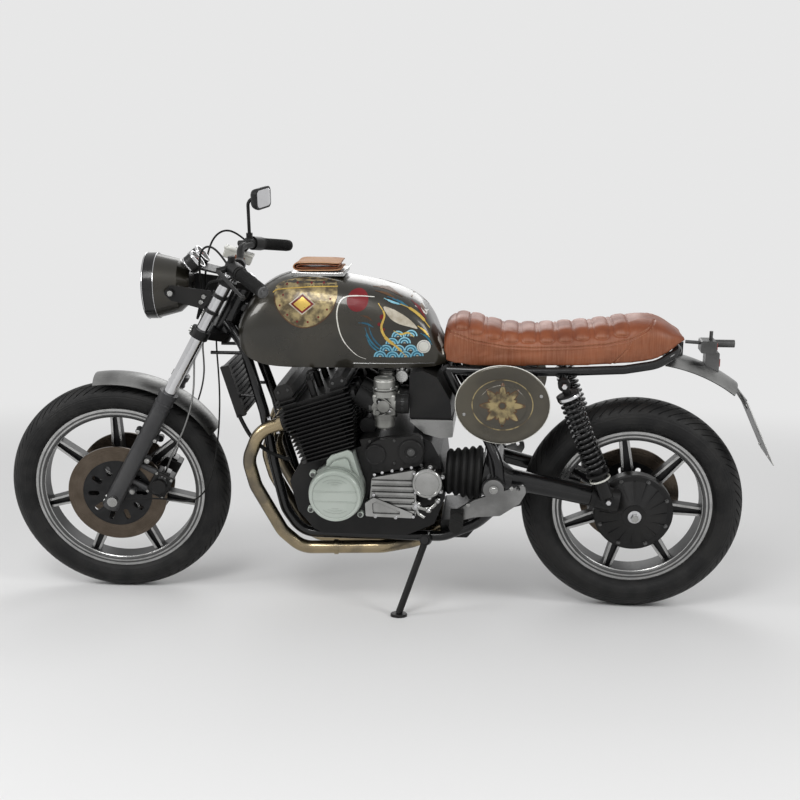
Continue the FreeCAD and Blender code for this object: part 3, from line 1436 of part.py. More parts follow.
def rear_fender():
    """Short guard over the tyre, with the strap that carries the number plate."""
    guard = curved_guard(rear_fender_radius, rear_fender_edge_radius, rear_fender_half_width,
                         rear_fender_start, rear_fender_end, rear_axle)
    top = spot(plate_top_shares[0], 0, plate_top_shares[1])
    bottom = spot(plate_bottom_shares[0], 0, plate_bottom_shares[1])
    angle = math.radians(rear_fender_end - 2)
    tip = rear_axle + Vector(math.cos(angle), 0, math.sin(angle)) * (rear_fender_radius - fender_wall / 2)
    low = between(top, bottom, 0.25) + forward * (plate_thickness + seat_gap)
    high = between(top, bottom, 0.02) + forward * (plate_thickness + seat_gap)
    points = [point - left * plate_bracket_half_width for point in
              [tip, high, low, low + forward * plate_thickness, tip + forward * plate_bracket_half_width]]
    strap = Part.Face(Part.makePolygon(points + points[:1])).extrude(left * 2 * plate_bracket_half_width)
    return fuse([guard, strap])


def number_plate():
    top = spot(plate_top_shares[0], 0, plate_top_shares[1])
    bottom = spot(plate_bottom_shares[0], 0, plate_bottom_shares[1])
    line = bottom - top
    board = Part.makeBox(plate_thickness, 2 * plate_half_width, line.Length,
                         Vector(0, -plate_half_width, -line.Length))
    tilt = math.degrees(math.atan2(-line.x, -line.z))
    corners = [edge for edge in board.Edges if abs(edge.Length - plate_thickness) < seat_gap]
    board = board.makeFillet(plate_thickness * 4, corners)
    board.Placement = Placement(top, Rotation(left, tilt))
    return board


# Two stacked lamp blocks and the barrel behind them, in shares of length and height
upper_lamp_shares = [(-0.6388, 0.784), (-0.6388, 0.819), (-0.6104, 0.819), (-0.6104, 0.784)]
lower_lamp_shares = [(-0.6453, 0.725), (-0.6453, 0.786), (-0.6201, 0.786), (-0.6201, 0.725)]
barrel_start_shares = (-0.6300, 0.808)
barrel_end_shares = (-0.6725, 0.808)


def tail_lamp(nodes):
    """Lamp blocks on a link from the seat hoop and a foot on the mudguard."""
    upper = side_plate(upper_lamp_shares, -tail_upper_half_width, tail_upper_half_width, tail_link_radius)
    lower = side_plate(lower_lamp_shares, -tail_lower_half_width, tail_lower_half_width, tail_link_radius)
    start = side_spot(barrel_start_shares, 0)
    barrel = rod(start, side_spot(barrel_end_shares, 0), tail_lamp_radius)
    hoop = spot(*seat_rail_shares[-1])
    link = rod(hoop - forward * (seat_rail_radius + seat_gap), start, tail_link_radius)
    post = rod(start, start + up * (tail_post_height + tail_lamp_radius), tail_link_radius)
    inside = rod(rear_axle - left * body_half_width, rear_axle + left * body_half_width,
                 rear_fender_radius - fender_wall)
    lamp = fuse([upper, lower, barrel, link, post]).cut([nodes["rear_fender"], inside])
    return max(lamp.Solids, key=lambda piece: piece.Volume)


# Swingarm, drive and shock absorbers

shaft_front_shares = (-0.2720, 0.424)
shaft_rear_shares = (-0.4180, 0.381)
shock_top_shares = (-0.3610, 0.720)
shock_low_shares = (-0.4470, 0.388)


def swingarm(axle_bar):
    """Left arm round the drive shaft, plain right arm, joined at the pivot."""
    pivot = spot(pivot_shares[0], 0, pivot_shares[1])
    cross = rod(pivot - left * (pivot_boss_inner - seat_gap), pivot + left * (pivot_boss_inner - seat_gap),
                swing_cross_radius)
    front = spot(shaft_front_shares[0], 0, shaft_front_shares[1]) + left * shaft_offset
    rear = spot(shaft_rear_shares[0], 0, shaft_rear_shares[1]) + left * shaft_offset
    mouth = spot(-0.2180, 0, 0.439) + left * shaft_offset
    throat = spot(-0.2330, 0, 0.435) + left * shaft_offset
    housing = rod(mouth, throat, swing_housing_radius)
    taper = cone(throat, front, swing_housing_radius, swing_tube_radius)
    shaft = rod(front, rear, swing_tube_radius)
    axle_end = rear_axle - left * (shaft_offset + swing_right_radius / 2)
    start = Vector(pivot.x, axle_end.y, pivot.z)
    right = rod(start, axle_end, swing_right_radius)
    tip = rod(axle_end - left * swing_right_radius * 0.8, axle_end + left * swing_right_radius * 0.8,
              swing_right_radius * 1.3)
    return fuse([cross, housing, taper, shaft, right, tip]).cut(axle_bar)


def rear_caliper(nodes):
    """Caliper over the front of the rear disc, carried by the right arm."""
    plane = -rear_disc_offset
    inner = plane + disc_thickness / 2 + disc_gap + caliper_depth / 2
    outer = -(shaft_offset + swing_right_radius / 2)
    centre = rear_axle + forward * rear_caliper_forward + up * rear_caliper_up
    body = block(Vector(centre.x - caliper_height / 2, outer, centre.z - caliper_width / 2),
                 Vector(centre.x + caliper_height / 2, inner, centre.z + caliper_width / 2))
    body = body.makeFillet(caliper_depth / 4, body.Edges)
    gap = rod(rear_axle + left * (plane - disc_thickness / 2 - disc_gap),
              rear_axle + left * (plane + disc_thickness / 2 + disc_gap), disc_radius + disc_gap)
    return body.cut([gap, nodes["swingarm"]])


def drive_boot(nodes):
    start = spot(-0.1500, 0, 0.443) + left * shaft_offset
    end = spot(-0.2175, 0, 0.439) + left * shaft_offset
    line = end - start
    length = line.Length
    profile = [(0, 0)]
    for index in range(boot_rings):
        low = length * index / boot_rings
        outer = boot_radius * (0.78 + 0.22 * (index + 1) / boot_rings)
        profile += [(outer - boot_groove, low), (outer, low + length * 0.35 / boot_rings),
                    (outer, low + length * 0.65 / boot_rings)]
    profile += [(boot_radius - boot_groove, length), (0, length)]
    return turned(profile, start, line)


def final_drive(nodes):
    profile = [(rear_axle_radius, final_case_inner), (final_case_radius, final_case_inner),
               (final_case_radius, final_case_outer - final_fin_thickness),
               (final_case_radius - final_fin_thickness, final_case_outer),
               (final_fin_radius, final_case_outer), (final_nose_radius, final_nose_outer - final_fin_thickness),
               (rear_axle_radius, final_nose_outer - final_fin_thickness)]
    case = turned(profile, rear_axle)
    fins = []
    points = [(final_fin_radius, final_case_outer - 2 * final_fin_thickness),
              (final_fin_radius, final_case_outer + final_fin_thickness),
              (final_nose_radius * 0.8, final_nose_outer - final_fin_thickness / 2),
              (final_nose_radius * 0.8, final_case_outer - 2 * final_fin_thickness)]
    outline = [Vector(radius, y, -final_fin_thickness / 2) for radius, y in points]
    fin = Part.Face(Part.makePolygon(outline + outline[:1])).extrude(up * final_fin_thickness)
    fin.translate(rear_axle)
    fins = around(fin, final_fins, rear_axle)
    boss = rod(rear_axle + left * final_case_outer, rear_axle + left * final_nose_outer, final_nose_radius)
    boss = boss.cut(rod(rear_axle, rear_axle + left * body_half_width, rear_axle_radius))
    rear = spot(shaft_rear_shares[0], 0, shaft_rear_shares[1]) + left * shaft_offset
    front = spot(shaft_front_shares[0], 0, shaft_front_shares[1]) + left * shaft_offset
    direction = (rear - front).normalize()
    inner = rear + direction * final_case_radius * 0.7
    pinion = rod(rear, inner, swing_tube_radius * 1.15)
    flange = rod(rear, rear + direction * fin_pitch, swing_tube_radius * 1.35)
    shock_low = spot(shock_low_shares[0], 0, shock_low_shares[1])
    stud = rod(shock_low + left * shaft_offset, shock_low + left * (shock_offset - shock_eye_width / 2),
               shock_stud_radius)
    drive = fuse([case, boss, pinion, flange, stud] + fins)
    wheel_room = rod(rear_axle - left * final_case_inner, rear_axle + left * final_case_inner,
                     rear_tyre_radius)
    return drive.cut(wheel_room).cut(rod(rear_axle, rear_axle + left * body_half_width, rear_axle_radius))


def shocks(nodes):
    top = spot(shock_top_shares[0], 0, shock_top_shares[1]) + left * shock_offset
    low = spot(shock_low_shares[0], 0, shock_low_shares[1]) + left * shock_offset
    line = (low - top).normalize()
    length = (low - top).Length
    half = left * shock_eye_width / 2
    eyes = [rod(point - half, point + half, shock_eye_radius) for point in (top, low)]
    seat_top = top + line * (shock_eye_radius * 1.6)
    seat_low = top + line * (length * 0.76)
    upper = rod(seat_top, seat_top + line * spring_seat_thickness, spring_seat_radius)
    lower = rod(seat_low, seat_low + line * spring_seat_thickness, spring_seat_radius)
    neck = rod(top, seat_top, shock_rod_radius * 1.6)
    piston_rod = rod(seat_top, top + line * (length * 0.5), shock_rod_radius)
    body = rod(top + line * (length * 0.42), low - line * shock_eye_radius * 0.5, shock_body_radius)
    damper = fuse(eyes + [upper, lower, neck, piston_rod, body])
    inner_length = (seat_low - seat_top).Length - spring_seat_thickness - 2 * spring_wire_radius - 2 * seat_gap
    pitch = inner_length / spring_turns
    helix = Part.makeHelix(pitch, inner_length, spring_radius)
    circle = Part.Wire(Part.makeCircle(spring_wire_radius, Vector(spring_radius, 0, 0), left))
    coil = Part.Wire(helix.Edges).makePipeShell([circle], True, True)
    coil.Placement = Placement(seat_top + line * (spring_seat_thickness + spring_wire_radius + seat_gap),
                               Rotation(up, line))
    nodes["shock_dampers"] = both_sides(damper)
    nodes["shock_springs"] = both_sides(coil)


# Footrests and side stand

footrest_shares = [(-0.1660, 0.356), (-0.2060, 0.396), (-0.2650, 0.428), (-0.2960, 0.444), (-0.2980, 0.420),
                   (-0.2870, 0.388), (-0.2520, 0.350), (-0.2060, 0.344), (-0.1740, 0.330)]

footpeg_shares = (-0.1741, 0.346)
passenger_peg_shares = (-0.2840, 0.432)


def footrests(nodes):
    low = footrest_plane - footrest_thickness
    body = side_plate(footrest_shares, low, footrest_plane, cover_fillet * 1.5)
    peg_spot = side_spot(footpeg_shares, 0)
    bore = rod(peg_spot, peg_spot + left * footrest_plane * 2, peg_bore_radius)
    rear_bore_spot = side_spot(passenger_peg_shares, 0)
    rear_bore = rod(rear_bore_spot, rear_bore_spot + left * footrest_plane * 2, peg_bore_radius)
    pivot = spot(pivot_shares[0], 0, pivot_shares[1])
    cap = rod(pivot + left * low, pivot + left * footrest_plane, pivot_cap_radius)
    nodes["footrest_plates"] = both_sides(fuse([body, cap]).cut([bore, rear_bore]))
    peg = rod(peg_spot + left * footrest_plane, peg_spot + left * (footrest_plane + footpeg_length), footpeg_radius)
    stud = rod(peg_spot + left * low, peg_spot + left * footrest_plane, peg_bore_radius)
    corner = peg_spot + left * footrest_plane
    hinge = block(corner - forward * footpeg_radius - up * footpeg_radius,
                  corner + forward * footpeg_radius + left * footpeg_hinge_width + up * footpeg_hinge_half_height)
    nodes["footpegs"] = both_sides(fuse([peg, stud, hinge]))


stand_pivot_shares = (-0.1152, 0.246)


def side_stand_frame():
    pivot = spot(stand_pivot_shares[0], 0, stand_pivot_shares[1])
    pivot = pivot + left * (body_half_width * cradle_shares[4][1] + cradle_radius + stand_lug_width)
    foot = Vector(stand_foot_forward, stand_foot_side, 0)
    return pivot, foot


# Parking: the wheels' lowest points give the small pitch that sets both on the floor

def lowest_point(centre, axle, radius, crown_radius):
    rise = axle.z / axle.Length
    return centre.z - (radius - crown_radius) * math.sqrt(1 - rise * rise) - crown_radius


def parked_frame(pitch):
    lean = Placement(origin, Rotation(forward, -parked_lean))
    return Placement(origin, Rotation(left, pitch)).multiply(lean)


steer_turn = Placement(steer_point, Rotation(steer_axis, parked_steer)).multiply(
    Placement(-steer_point, Rotation()))


def tyre_heights(pitch):
    place = parked_frame(pitch)
    front = place.multiply(steer_turn)
    front_low = lowest_point(front.multVec(front_axle), front.Rotation.multVec(left),
                             front_tyre_radius, front_crown_radius)
    rear_low = lowest_point(place.multVec(rear_axle), place.Rotation.multVec(left),
                            rear_tyre_radius, rear_crown_radius)
    return front_low, rear_low


def settle():
    """Pitch and lift that set both tyres on the floor."""
    pitch = 0.0
    for _ in range(8):
        front_low, rear_low = tyre_heights(pitch)
        pitch += math.degrees((front_low - rear_low) / wheelbase)
    front_low, rear_low = tyre_heights(pitch)
    return pitch, -(front_low + rear_low) / 2


park_pitch, park_lift = settle()
park = Placement(up * park_lift, Rotation()).multiply(parked_frame(park_pitch))
park_steered = park.multiply(steer_turn)


def side_stand(nodes):
    pivot, foot = side_stand_frame()
    floor_foot = park.inverse().multVec(Vector(park.multVec(foot).x, park.multVec(foot).y, stand_foot_thickness))
    leg_line = (floor_foot - pivot).normalize()
    folded = Vector(-0.99, 0.10, 0.05)
    axis = leg_line.cross(folded).normalize()
    eye = rod(pivot + axis * running_gap, pivot + axis * (running_gap + stand_eye_width), stand_eye_radius)
    shoulder = pivot + axis * (running_gap + stand_eye_width / 2)
    leg = rod(shoulder, floor_foot, stand_leg_radius)
    pin_hole = rod(pivot - axis * stand_eye_width, pivot + axis * stand_eye_width * 2,
                   stand_pin_radius + running_gap)
    leg = fuse([eye, leg]).cut(pin_hole)
    leg.Placement = park.multiply(leg.Placement)
    pad = Part.makeCylinder(stand_foot_radius, stand_foot_thickness,
                            Vector(park.multVec(foot).x, park.multVec(foot).y, 0))
    pad = pad.makeFillet(stand_foot_thickness / 3, [pad.Edges[0]])
    pin = rod(pivot - axis * stand_lug_width, pivot + axis * (2 * running_gap + stand_eye_width), stand_pin_radius)
    head = rod(pivot + axis * (2 * running_gap + stand_eye_width),
               pivot + axis * (2 * running_gap + stand_eye_width + stand_pin_radius), stand_eye_radius * 0.7)
    lug_root = Vector(pivot.x, body_half_width * cradle_shares[4][1], pivot.z)
    lug = cone(lug_root, pivot, stand_eye_radius, stand_eye_radius * 0.9)
    face_cut = rod(pivot, pivot + axis * body_half_width, stand_eye_radius * 2)
    lug = fuse([lug, rod(pivot - axis * stand_lug_width, pivot, stand_eye_radius * 0.9)]).cut(face_cut)
    return fuse([leg, pad]), fuse([lug, pin, head]), pivot, axis


def placed(shape, frame):
    """Copy of an upright piece in its parked place."""
    copy = shape.copy()
    copy.Placement = frame.multiply(copy.Placement)
    return copy


steering_nodes = ["upper_yoke", "lower_yoke", "fork_tubes", "fork_sliders", "front_axle", "headlamp_shell",
                  "headlamp_rim", "headlamp_lens", "headlamp_ears", "handlebar", "grips", "controls", "mirror",
                  "brake_reservoir", "gauges", "front_fender", "front_calipers", "front_wheel", "front_tyre",
                  "front_discs"]
widest_nodes = ["front_tyre", "rear_tyre", "number_plate", "controls", "grips", "mirror", "footpegs"]


def build():
    """All nodes parked, with the places and axes of what turns."""
    nodes = {}
    front_wheel_parts(nodes)
    rear_wheel_parts(nodes)
    fork_parts(nodes)
    yokes(nodes)
    headlamp(nodes)
    handlebar(nodes)
    boss_top, bowl = controls(nodes)
    mirror(nodes, boss_top, bowl)
    gauges(nodes)
    front_fender(nodes)
    front_calipers(nodes)
    nodes["crankcase"] = crankcase(nodes)
    nodes["cylinder_block"] = cylinder_block(nodes)
    nodes["cylinder_head"] = cylinder_head(nodes)
    nodes["cam_cover"] = cam_cover(nodes)
    covers(nodes)
    intake(nodes)
    exhaust(nodes)
    nodes["oil_cooler"] = oil_cooler(nodes)
    body = tank_body()
    fuel_tank(nodes, body)
    tank_fittings(nodes)
    nodes["seat"] = seat(body)
    nodes["side_covers"] = side_covers(nodes)
    nodes["battery_box"] = battery_box()
    nodes["rear_fender"] = rear_fender()
    nodes["number_plate"] = number_plate()
    nodes["tail_lamp"] = tail_lamp(nodes)
    nodes["final_drive"] = final_drive(nodes)
    nodes["rear_axle"] = rod(rear_axle - left * rear_axle_half_length, rear_axle + left * rear_axle_half_length,
                             rear_axle_radius)
    shocks(nodes)
    footrests(nodes)
    stand, stand_lug, pivot, axis = side_stand(nodes)
    frame = fuse([main_frame(nodes), stand_lug])
    frame = frame.cut([nodes["crankcase"], nodes["exhaust_headers"], nodes["oil_cooler"], nodes["rear_fender"],
                       nodes["shock_dampers"]])
    nodes["main_frame"] = max(frame.Solids, key=lambda piece: piece.Volume)
    nodes["drive_boot"] = drive_boot(nodes).cut([nodes["crankcase"], nodes["main_frame"]])
    nodes["swingarm"] = swingarm(nodes["rear_axle"]).cut([nodes["main_frame"], nodes["drive_boot"],
                                                          nodes["final_drive"]])
    nodes["rear_caliper"] = rear_caliper(nodes)
    parked = {}
    for name, shape in nodes.items():
        parked[name] = placed(shape, park_steered if name in steering_nodes else park)
    parked["side_stand"] = stand
    joints = {"steering": (park.multVec(steer_point), park.Rotation.multVec(steer_axis)),
              "front_wheel_spin": (park_steered.multVec(front_axle), park_steered.Rotation.multVec(left)),
              "rear_wheel_spin": (park.multVec(rear_axle), park.Rotation.multVec(left)),
              "side_stand": (park.multVec(pivot), park.Rotation.multVec(axis))}
    return centred(parked, joints)


def centred(parked, joints):
    """The parked machine moved so that its origin is under the middle of its box, on the floor."""
    box = FreeCAD.BoundBox()
    for name in widest_nodes:
        box.add(parked[name].optimalBoundingBox(False))
    shift = Vector(-box.Center.x, -box.Center.y, 0)
    for shape in parked.values():
        shape.translate(shift)
    return parked, {name: (place + shift, axis) for name, (place, axis) in joints.items()}, shift


def main():
    nodes, joints, shift = build()
    os.makedirs("parts", exist_ok=True)
    for name, shape in nodes.items():
        shape.exportStep(os.path.join("parts", name + ".step"))
    print("moved by", shift, "pitch", park_pitch, "lift", park_lift)
    print("steering from", -steer_lock - parked_steer, "to", steer_lock - parked_steer, "stand to", stand_range)
    for name, (place, axis) in joints.items():
        print(name, place, axis)


if __name__ == "__main__":
    main()
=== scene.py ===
import json
import math

import bmesh
import bpy
from mathutils import Matrix, Vector
from mathutils.bvhtree import BVHTree
from mathutils.geometry import delaunay_2d_cdt


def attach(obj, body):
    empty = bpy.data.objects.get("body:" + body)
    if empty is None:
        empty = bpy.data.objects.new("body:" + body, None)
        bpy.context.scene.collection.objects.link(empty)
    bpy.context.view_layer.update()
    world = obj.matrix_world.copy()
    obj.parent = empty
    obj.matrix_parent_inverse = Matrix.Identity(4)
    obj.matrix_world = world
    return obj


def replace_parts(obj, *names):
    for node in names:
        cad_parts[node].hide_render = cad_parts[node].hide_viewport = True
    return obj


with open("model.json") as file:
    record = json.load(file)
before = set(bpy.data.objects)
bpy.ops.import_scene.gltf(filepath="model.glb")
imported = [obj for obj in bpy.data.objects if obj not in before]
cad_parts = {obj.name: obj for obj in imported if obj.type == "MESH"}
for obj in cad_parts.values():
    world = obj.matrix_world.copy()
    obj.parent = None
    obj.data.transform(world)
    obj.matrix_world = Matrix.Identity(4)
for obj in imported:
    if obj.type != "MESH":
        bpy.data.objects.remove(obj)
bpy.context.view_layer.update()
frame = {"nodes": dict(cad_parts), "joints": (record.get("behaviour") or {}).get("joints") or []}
print("frame loaded,", len(frame["nodes"]), "nodes")

# The upright machine: x forward, y to its left, z up from the floor, metres, as in the part's source.
# Its place comes from the joints: the rear axle and the steering axis lie in its middle plane.
layout = {"wheelbase": 1.545, "frontAxleHeight": 0.334, "rearAxleHeight": 0.322, "rake": 29.5, "steer": 6.0,
          "enginePlace": (0.095, 0, 0.5), "engineTilt": 18}
joints = {joint["name"]: joint for joint in frame["joints"]}
leftWay = Vector(joints["rear_wheel_spin"]["axis"]).normalized()
steerWay = Vector(joints["steering"]["axis"]).normalized()
steerPoint = Vector(joints["steering"]["pos_m"])
rake = math.radians(layout["rake"])
acrossWay = leftWay.cross(steerWay)
forwardWay = (acrossWay * math.cos(rake) - steerWay * math.sin(rake)).normalized()
upWay = forwardWay.cross(leftWay).normalized()
rearAxle = Vector(joints["rear_wheel_spin"]["pos_m"])
frontAxle = Vector(joints["front_wheel_spin"]["pos_m"])
frontWay = Vector(joints["front_wheel_spin"]["axis"]).normalized()
floorPoint = rearAxle + forwardWay * layout["wheelbase"] / 2 - upWay * layout["rearAxleHeight"]
upright = Matrix.Translation(floorPoint) @ Matrix((forwardWay, leftWay, upWay)).transposed().to_4x4()
turnedBars = (Matrix.Translation(steerPoint) @ Matrix.Rotation(math.radians(layout["steer"]), 4, steerWay)
              @ Matrix.Translation(-steerPoint))
steered = turnedBars @ upright
frontCentre = Vector((layout["wheelbase"] / 2, 0, layout["frontAxleHeight"]))
rearCentre = Vector((-layout["wheelbase"] / 2, 0, layout["rearAxleHeight"]))

# Frames that the pieces are made in, all in millimetres
mm = Matrix.Scale(0.001, 4)
places = {
    "upright": upright @ mm,
    "steered": steered @ mm,
    "fork": steered @ Matrix.Translation(frontCentre) @ Matrix.Rotation(-rake, 4, "Y") @ mm,
    "engine": (upright @ Matrix.Translation(layout["enginePlace"])
               @ Matrix.Rotation(math.radians(layout["engineTilt"]), 4, "Y") @ mm),
    "frontWheel": steered @ Matrix.Translation(frontCentre) @ mm,
    "rearWheel": upright @ Matrix.Translation(rearCentre) @ mm,
}

# Camera and studio
camera = {"place": (-0.4041, 3.3976, 0.9817), "yaw": 5.487, "height": 6.319, "roll": 0.669, "lens": 50.85,
          "sensor": 36}
studio = {"floor": (0.78, 0.78, 0.78), "backdrop": (0.80, 0.80, 0.80), "worldStrength": 0.42,
          "floorReach": 40, "floorRough": 0.9, "fadeFrom": 1.4, "fadeTo": 6.0, "lampAim": (0, 0, 0.5),
          "lamps": [("keyLamp", (0.6, 3.4, 3.4), 1.6, 80), ("frontLamp", (3.4, 1.8, 2.2), 1.2, 44),
                    ("rearLamp", (-3.2, 2.0, 2.4), 1.2, 44), ("backLamp", (0.0, -3.4, 3.0), 2.6, 40)]}


class Tree:
    # A node tree with short ways to add to it; an input is a number, a colour, a vector or a node's output
    patchRange, grainRange = (0.35, 0.65), (0.3, 0.7)

    def __init__(self, owner):
        owner.use_nodes = True
        self.owner = owner
        self.nodes, self.links = owner.node_tree.nodes, owner.node_tree.links

    def put(self, socket, value):
        if isinstance(value, bpy.types.NodeSocket):
            self.links.new(value, socket)
        else:
            socket.default_value = (*value, 1) if socket.type == "RGBA" else value

    def add(self, kind, inputs=None, **settings):
        node = self.nodes.new("ShaderNode" + kind)
        for name, value in settings.items():
            setattr(node, name, value)
        for name, value in (inputs or {}).items():
            self.put(node.inputs[name], value)
        return node

    def paint(self, inputs):
        for name, value in inputs.items():
            self.put(self.nodes["Principled BSDF"].inputs[name], value)

    def math(self, operation, *values, clamp=False):
        return self.add("Math", dict(enumerate(values)), operation=operation, use_clamp=clamp).outputs[0]

    def times(self, first, second):
        return self.math("MULTIPLY", first, second)

    def plus(self, first, second):
        return self.math("ADD", first, second)

    def within(self, value, low, high):
        return self.times(self.math("GREATER_THAN", value, low), self.math("LESS_THAN", value, high))

    def dot(self, vector, axis):
        return self.add("VectorMath", {0: vector, 1: axis}, operation="DOT_PRODUCT").outputs[1]

    def smooth(self, value, low, high, start=0.0, end=1.0, kind="SMOOTHSTEP"):
        return self.add("MapRange", {"Value": value, "From Min": low, "From Max": high, "To Min": start,
                                     "To Max": end}, interpolation_type=kind).outputs["Result"]

    def linear(self, value, low, high, start, end):
        return self.smooth(value, low, high, start, end, "LINEAR")

    def blend(self, share, first, second):
        return self.add("Mix", {"Factor": share, "A": first, "B": second}, data_type="RGBA").outputs["Result"]

    def place(self):
        return self.add("TexCoord").outputs["Object"]

    def noise(self, scale, detail, stretch=None):
        place = self.place()
        if stretch:
            place = self.add("Mapping", {"Scale": stretch, "Vector": place}).outputs["Vector"]
        return self.add("TexNoise", {"Scale": scale, "Detail": detail, "Vector": place}).outputs["Fac"]

    def patches(self, scale, detail):
        return self.smooth(self.noise(scale, detail), *self.patchRange)

    def gloss(self, grain, low, high):
        return self.linear(grain, *self.grainRange, low, high)

    def facing(self, axis, normal="True Normal"):
        # How squarely the surface faces along an axis of the object
        turned = self.add("VectorTransform", {0: self.add("NewGeometry").outputs[normal]},
                          vector_type="NORMAL", convert_from="WORLD", convert_to="OBJECT")
        return self.dot(turned.outputs[0], axis)

    def bump(self, height, strength, distance=0.001):
        return self.add("Bump",
                        {"Strength": strength, "Distance": distance, "Height": height}).outputs["Normal"]

    def seenBy(self, *rays):
        # 1 for the camera's rays and the other kinds named, 0 for light
        path = self.add("LightPath")
        seen = path.outputs["Is Camera Ray"]
        for ray in rays:
            seen = self.math("MAXIMUM", seen, path.outputs["Is %s Ray" % ray])
        return seen

    def mixShaders(self, share, first, second, out):
        mix = self.add("MixShader", {"Fac": share, 1: first, 2: second})
        self.links.new(mix.outputs[0], out.inputs["Surface"])


def addCamera():
    yaw, height, roll = (math.radians(camera[name]) for name in ("yaw", "height", "roll"))
    back = Vector((-math.sin(yaw) * math.cos(height), math.cos(yaw) * math.cos(height), math.sin(height)))
    side = Vector((-math.cos(yaw), -math.sin(yaw), 0))
    rise = back.cross(side)
    right = side * math.cos(roll) + rise * math.sin(roll)
    top = -side * math.sin(roll) + rise * math.cos(roll)
    eye = bpy.data.objects.new("camera", bpy.data.cameras.new("camera"))
    bpy.context.scene.collection.objects.link(eye)
    place = Vector((floorPoint.x, floorPoint.y, 0)) + Vector(camera["place"])
    eye.matrix_world = Matrix.Translation(place) @ Matrix((right, top, back)).transposed().to_4x4()
    eye.data.lens = camera["lens"]
    eye.data.sensor_width = camera["sensor"]
    eye.data.sensor_fit = "HORIZONTAL"
    bpy.context.scene.camera = eye


def addWorld():
    world = bpy.data.worlds.new("studio")
    bpy.context.scene.world = world
    tree = Tree(world)
    tree.nodes.clear()
    light = tree.add("Background", {"Color": (1, 1, 1), "Strength": studio["worldStrength"]})
    seen = tree.add("Background", {"Color": studio["backdrop"]})
    direct = tree.seenBy("Glossy", "Transmission")
    tree.mixShaders(direct, light.outputs[0], seen.outputs[0], tree.add("OutputWorld"))


def addFloor():
    # Far from the object the floor turns into the backdrop, for what looks at it and not as light
    mesh = bpy.data.meshes.new("floor")
    reach = studio["floorReach"]
    corners = [(-reach, -reach, 0), (reach, -reach, 0), (reach, reach, 0), (-reach, reach, 0)]
    mesh.from_pydata(corners, [], [(0, 1, 2, 3)])
    floor = bpy.data.objects.new("floor", mesh)
    bpy.context.scene.collection.objects.link(floor)
    tree = Tree(bpy.data.materials.new("floorPaint"))
    tree.paint({"Base Color": studio["floor"], "Roughness": studio["floorRough"]})
    distance = tree.add("VectorMath", {0: tree.place()}, operation="LENGTH").outputs[1]
    far = tree.smooth(distance, studio["fadeFrom"], studio["fadeTo"])
    share = tree.times(far, tree.seenBy("Glossy"))
    glow = tree.add("Emission", {"Color": studio["backdrop"]})
    tree.mixShaders(share, tree.nodes["Principled BSDF"].outputs[0], glow.outputs[0],
                    tree.nodes["Material Output"])
    mesh.materials.append(tree.owner)


def addLamps():
    for name, place, size, power in studio["lamps"]:
        lamp = bpy.data.lights.new(name, "AREA")
        lamp.size = size
        lamp.energy = power
        holder = bpy.data.objects.new(name, lamp)
        holder.location = place
        aim = Vector(studio["lampAim"]) - Vector(place)
        holder.rotation_euler = aim.to_track_quat("-Z", "Y").to_euler()
        bpy.context.scene.collection.objects.link(holder)
    bpy.context.scene.view_settings.view_transform = "Standard"


addCamera()
addWorld()
addFloor()
addLamps()
print("camera and studio set")

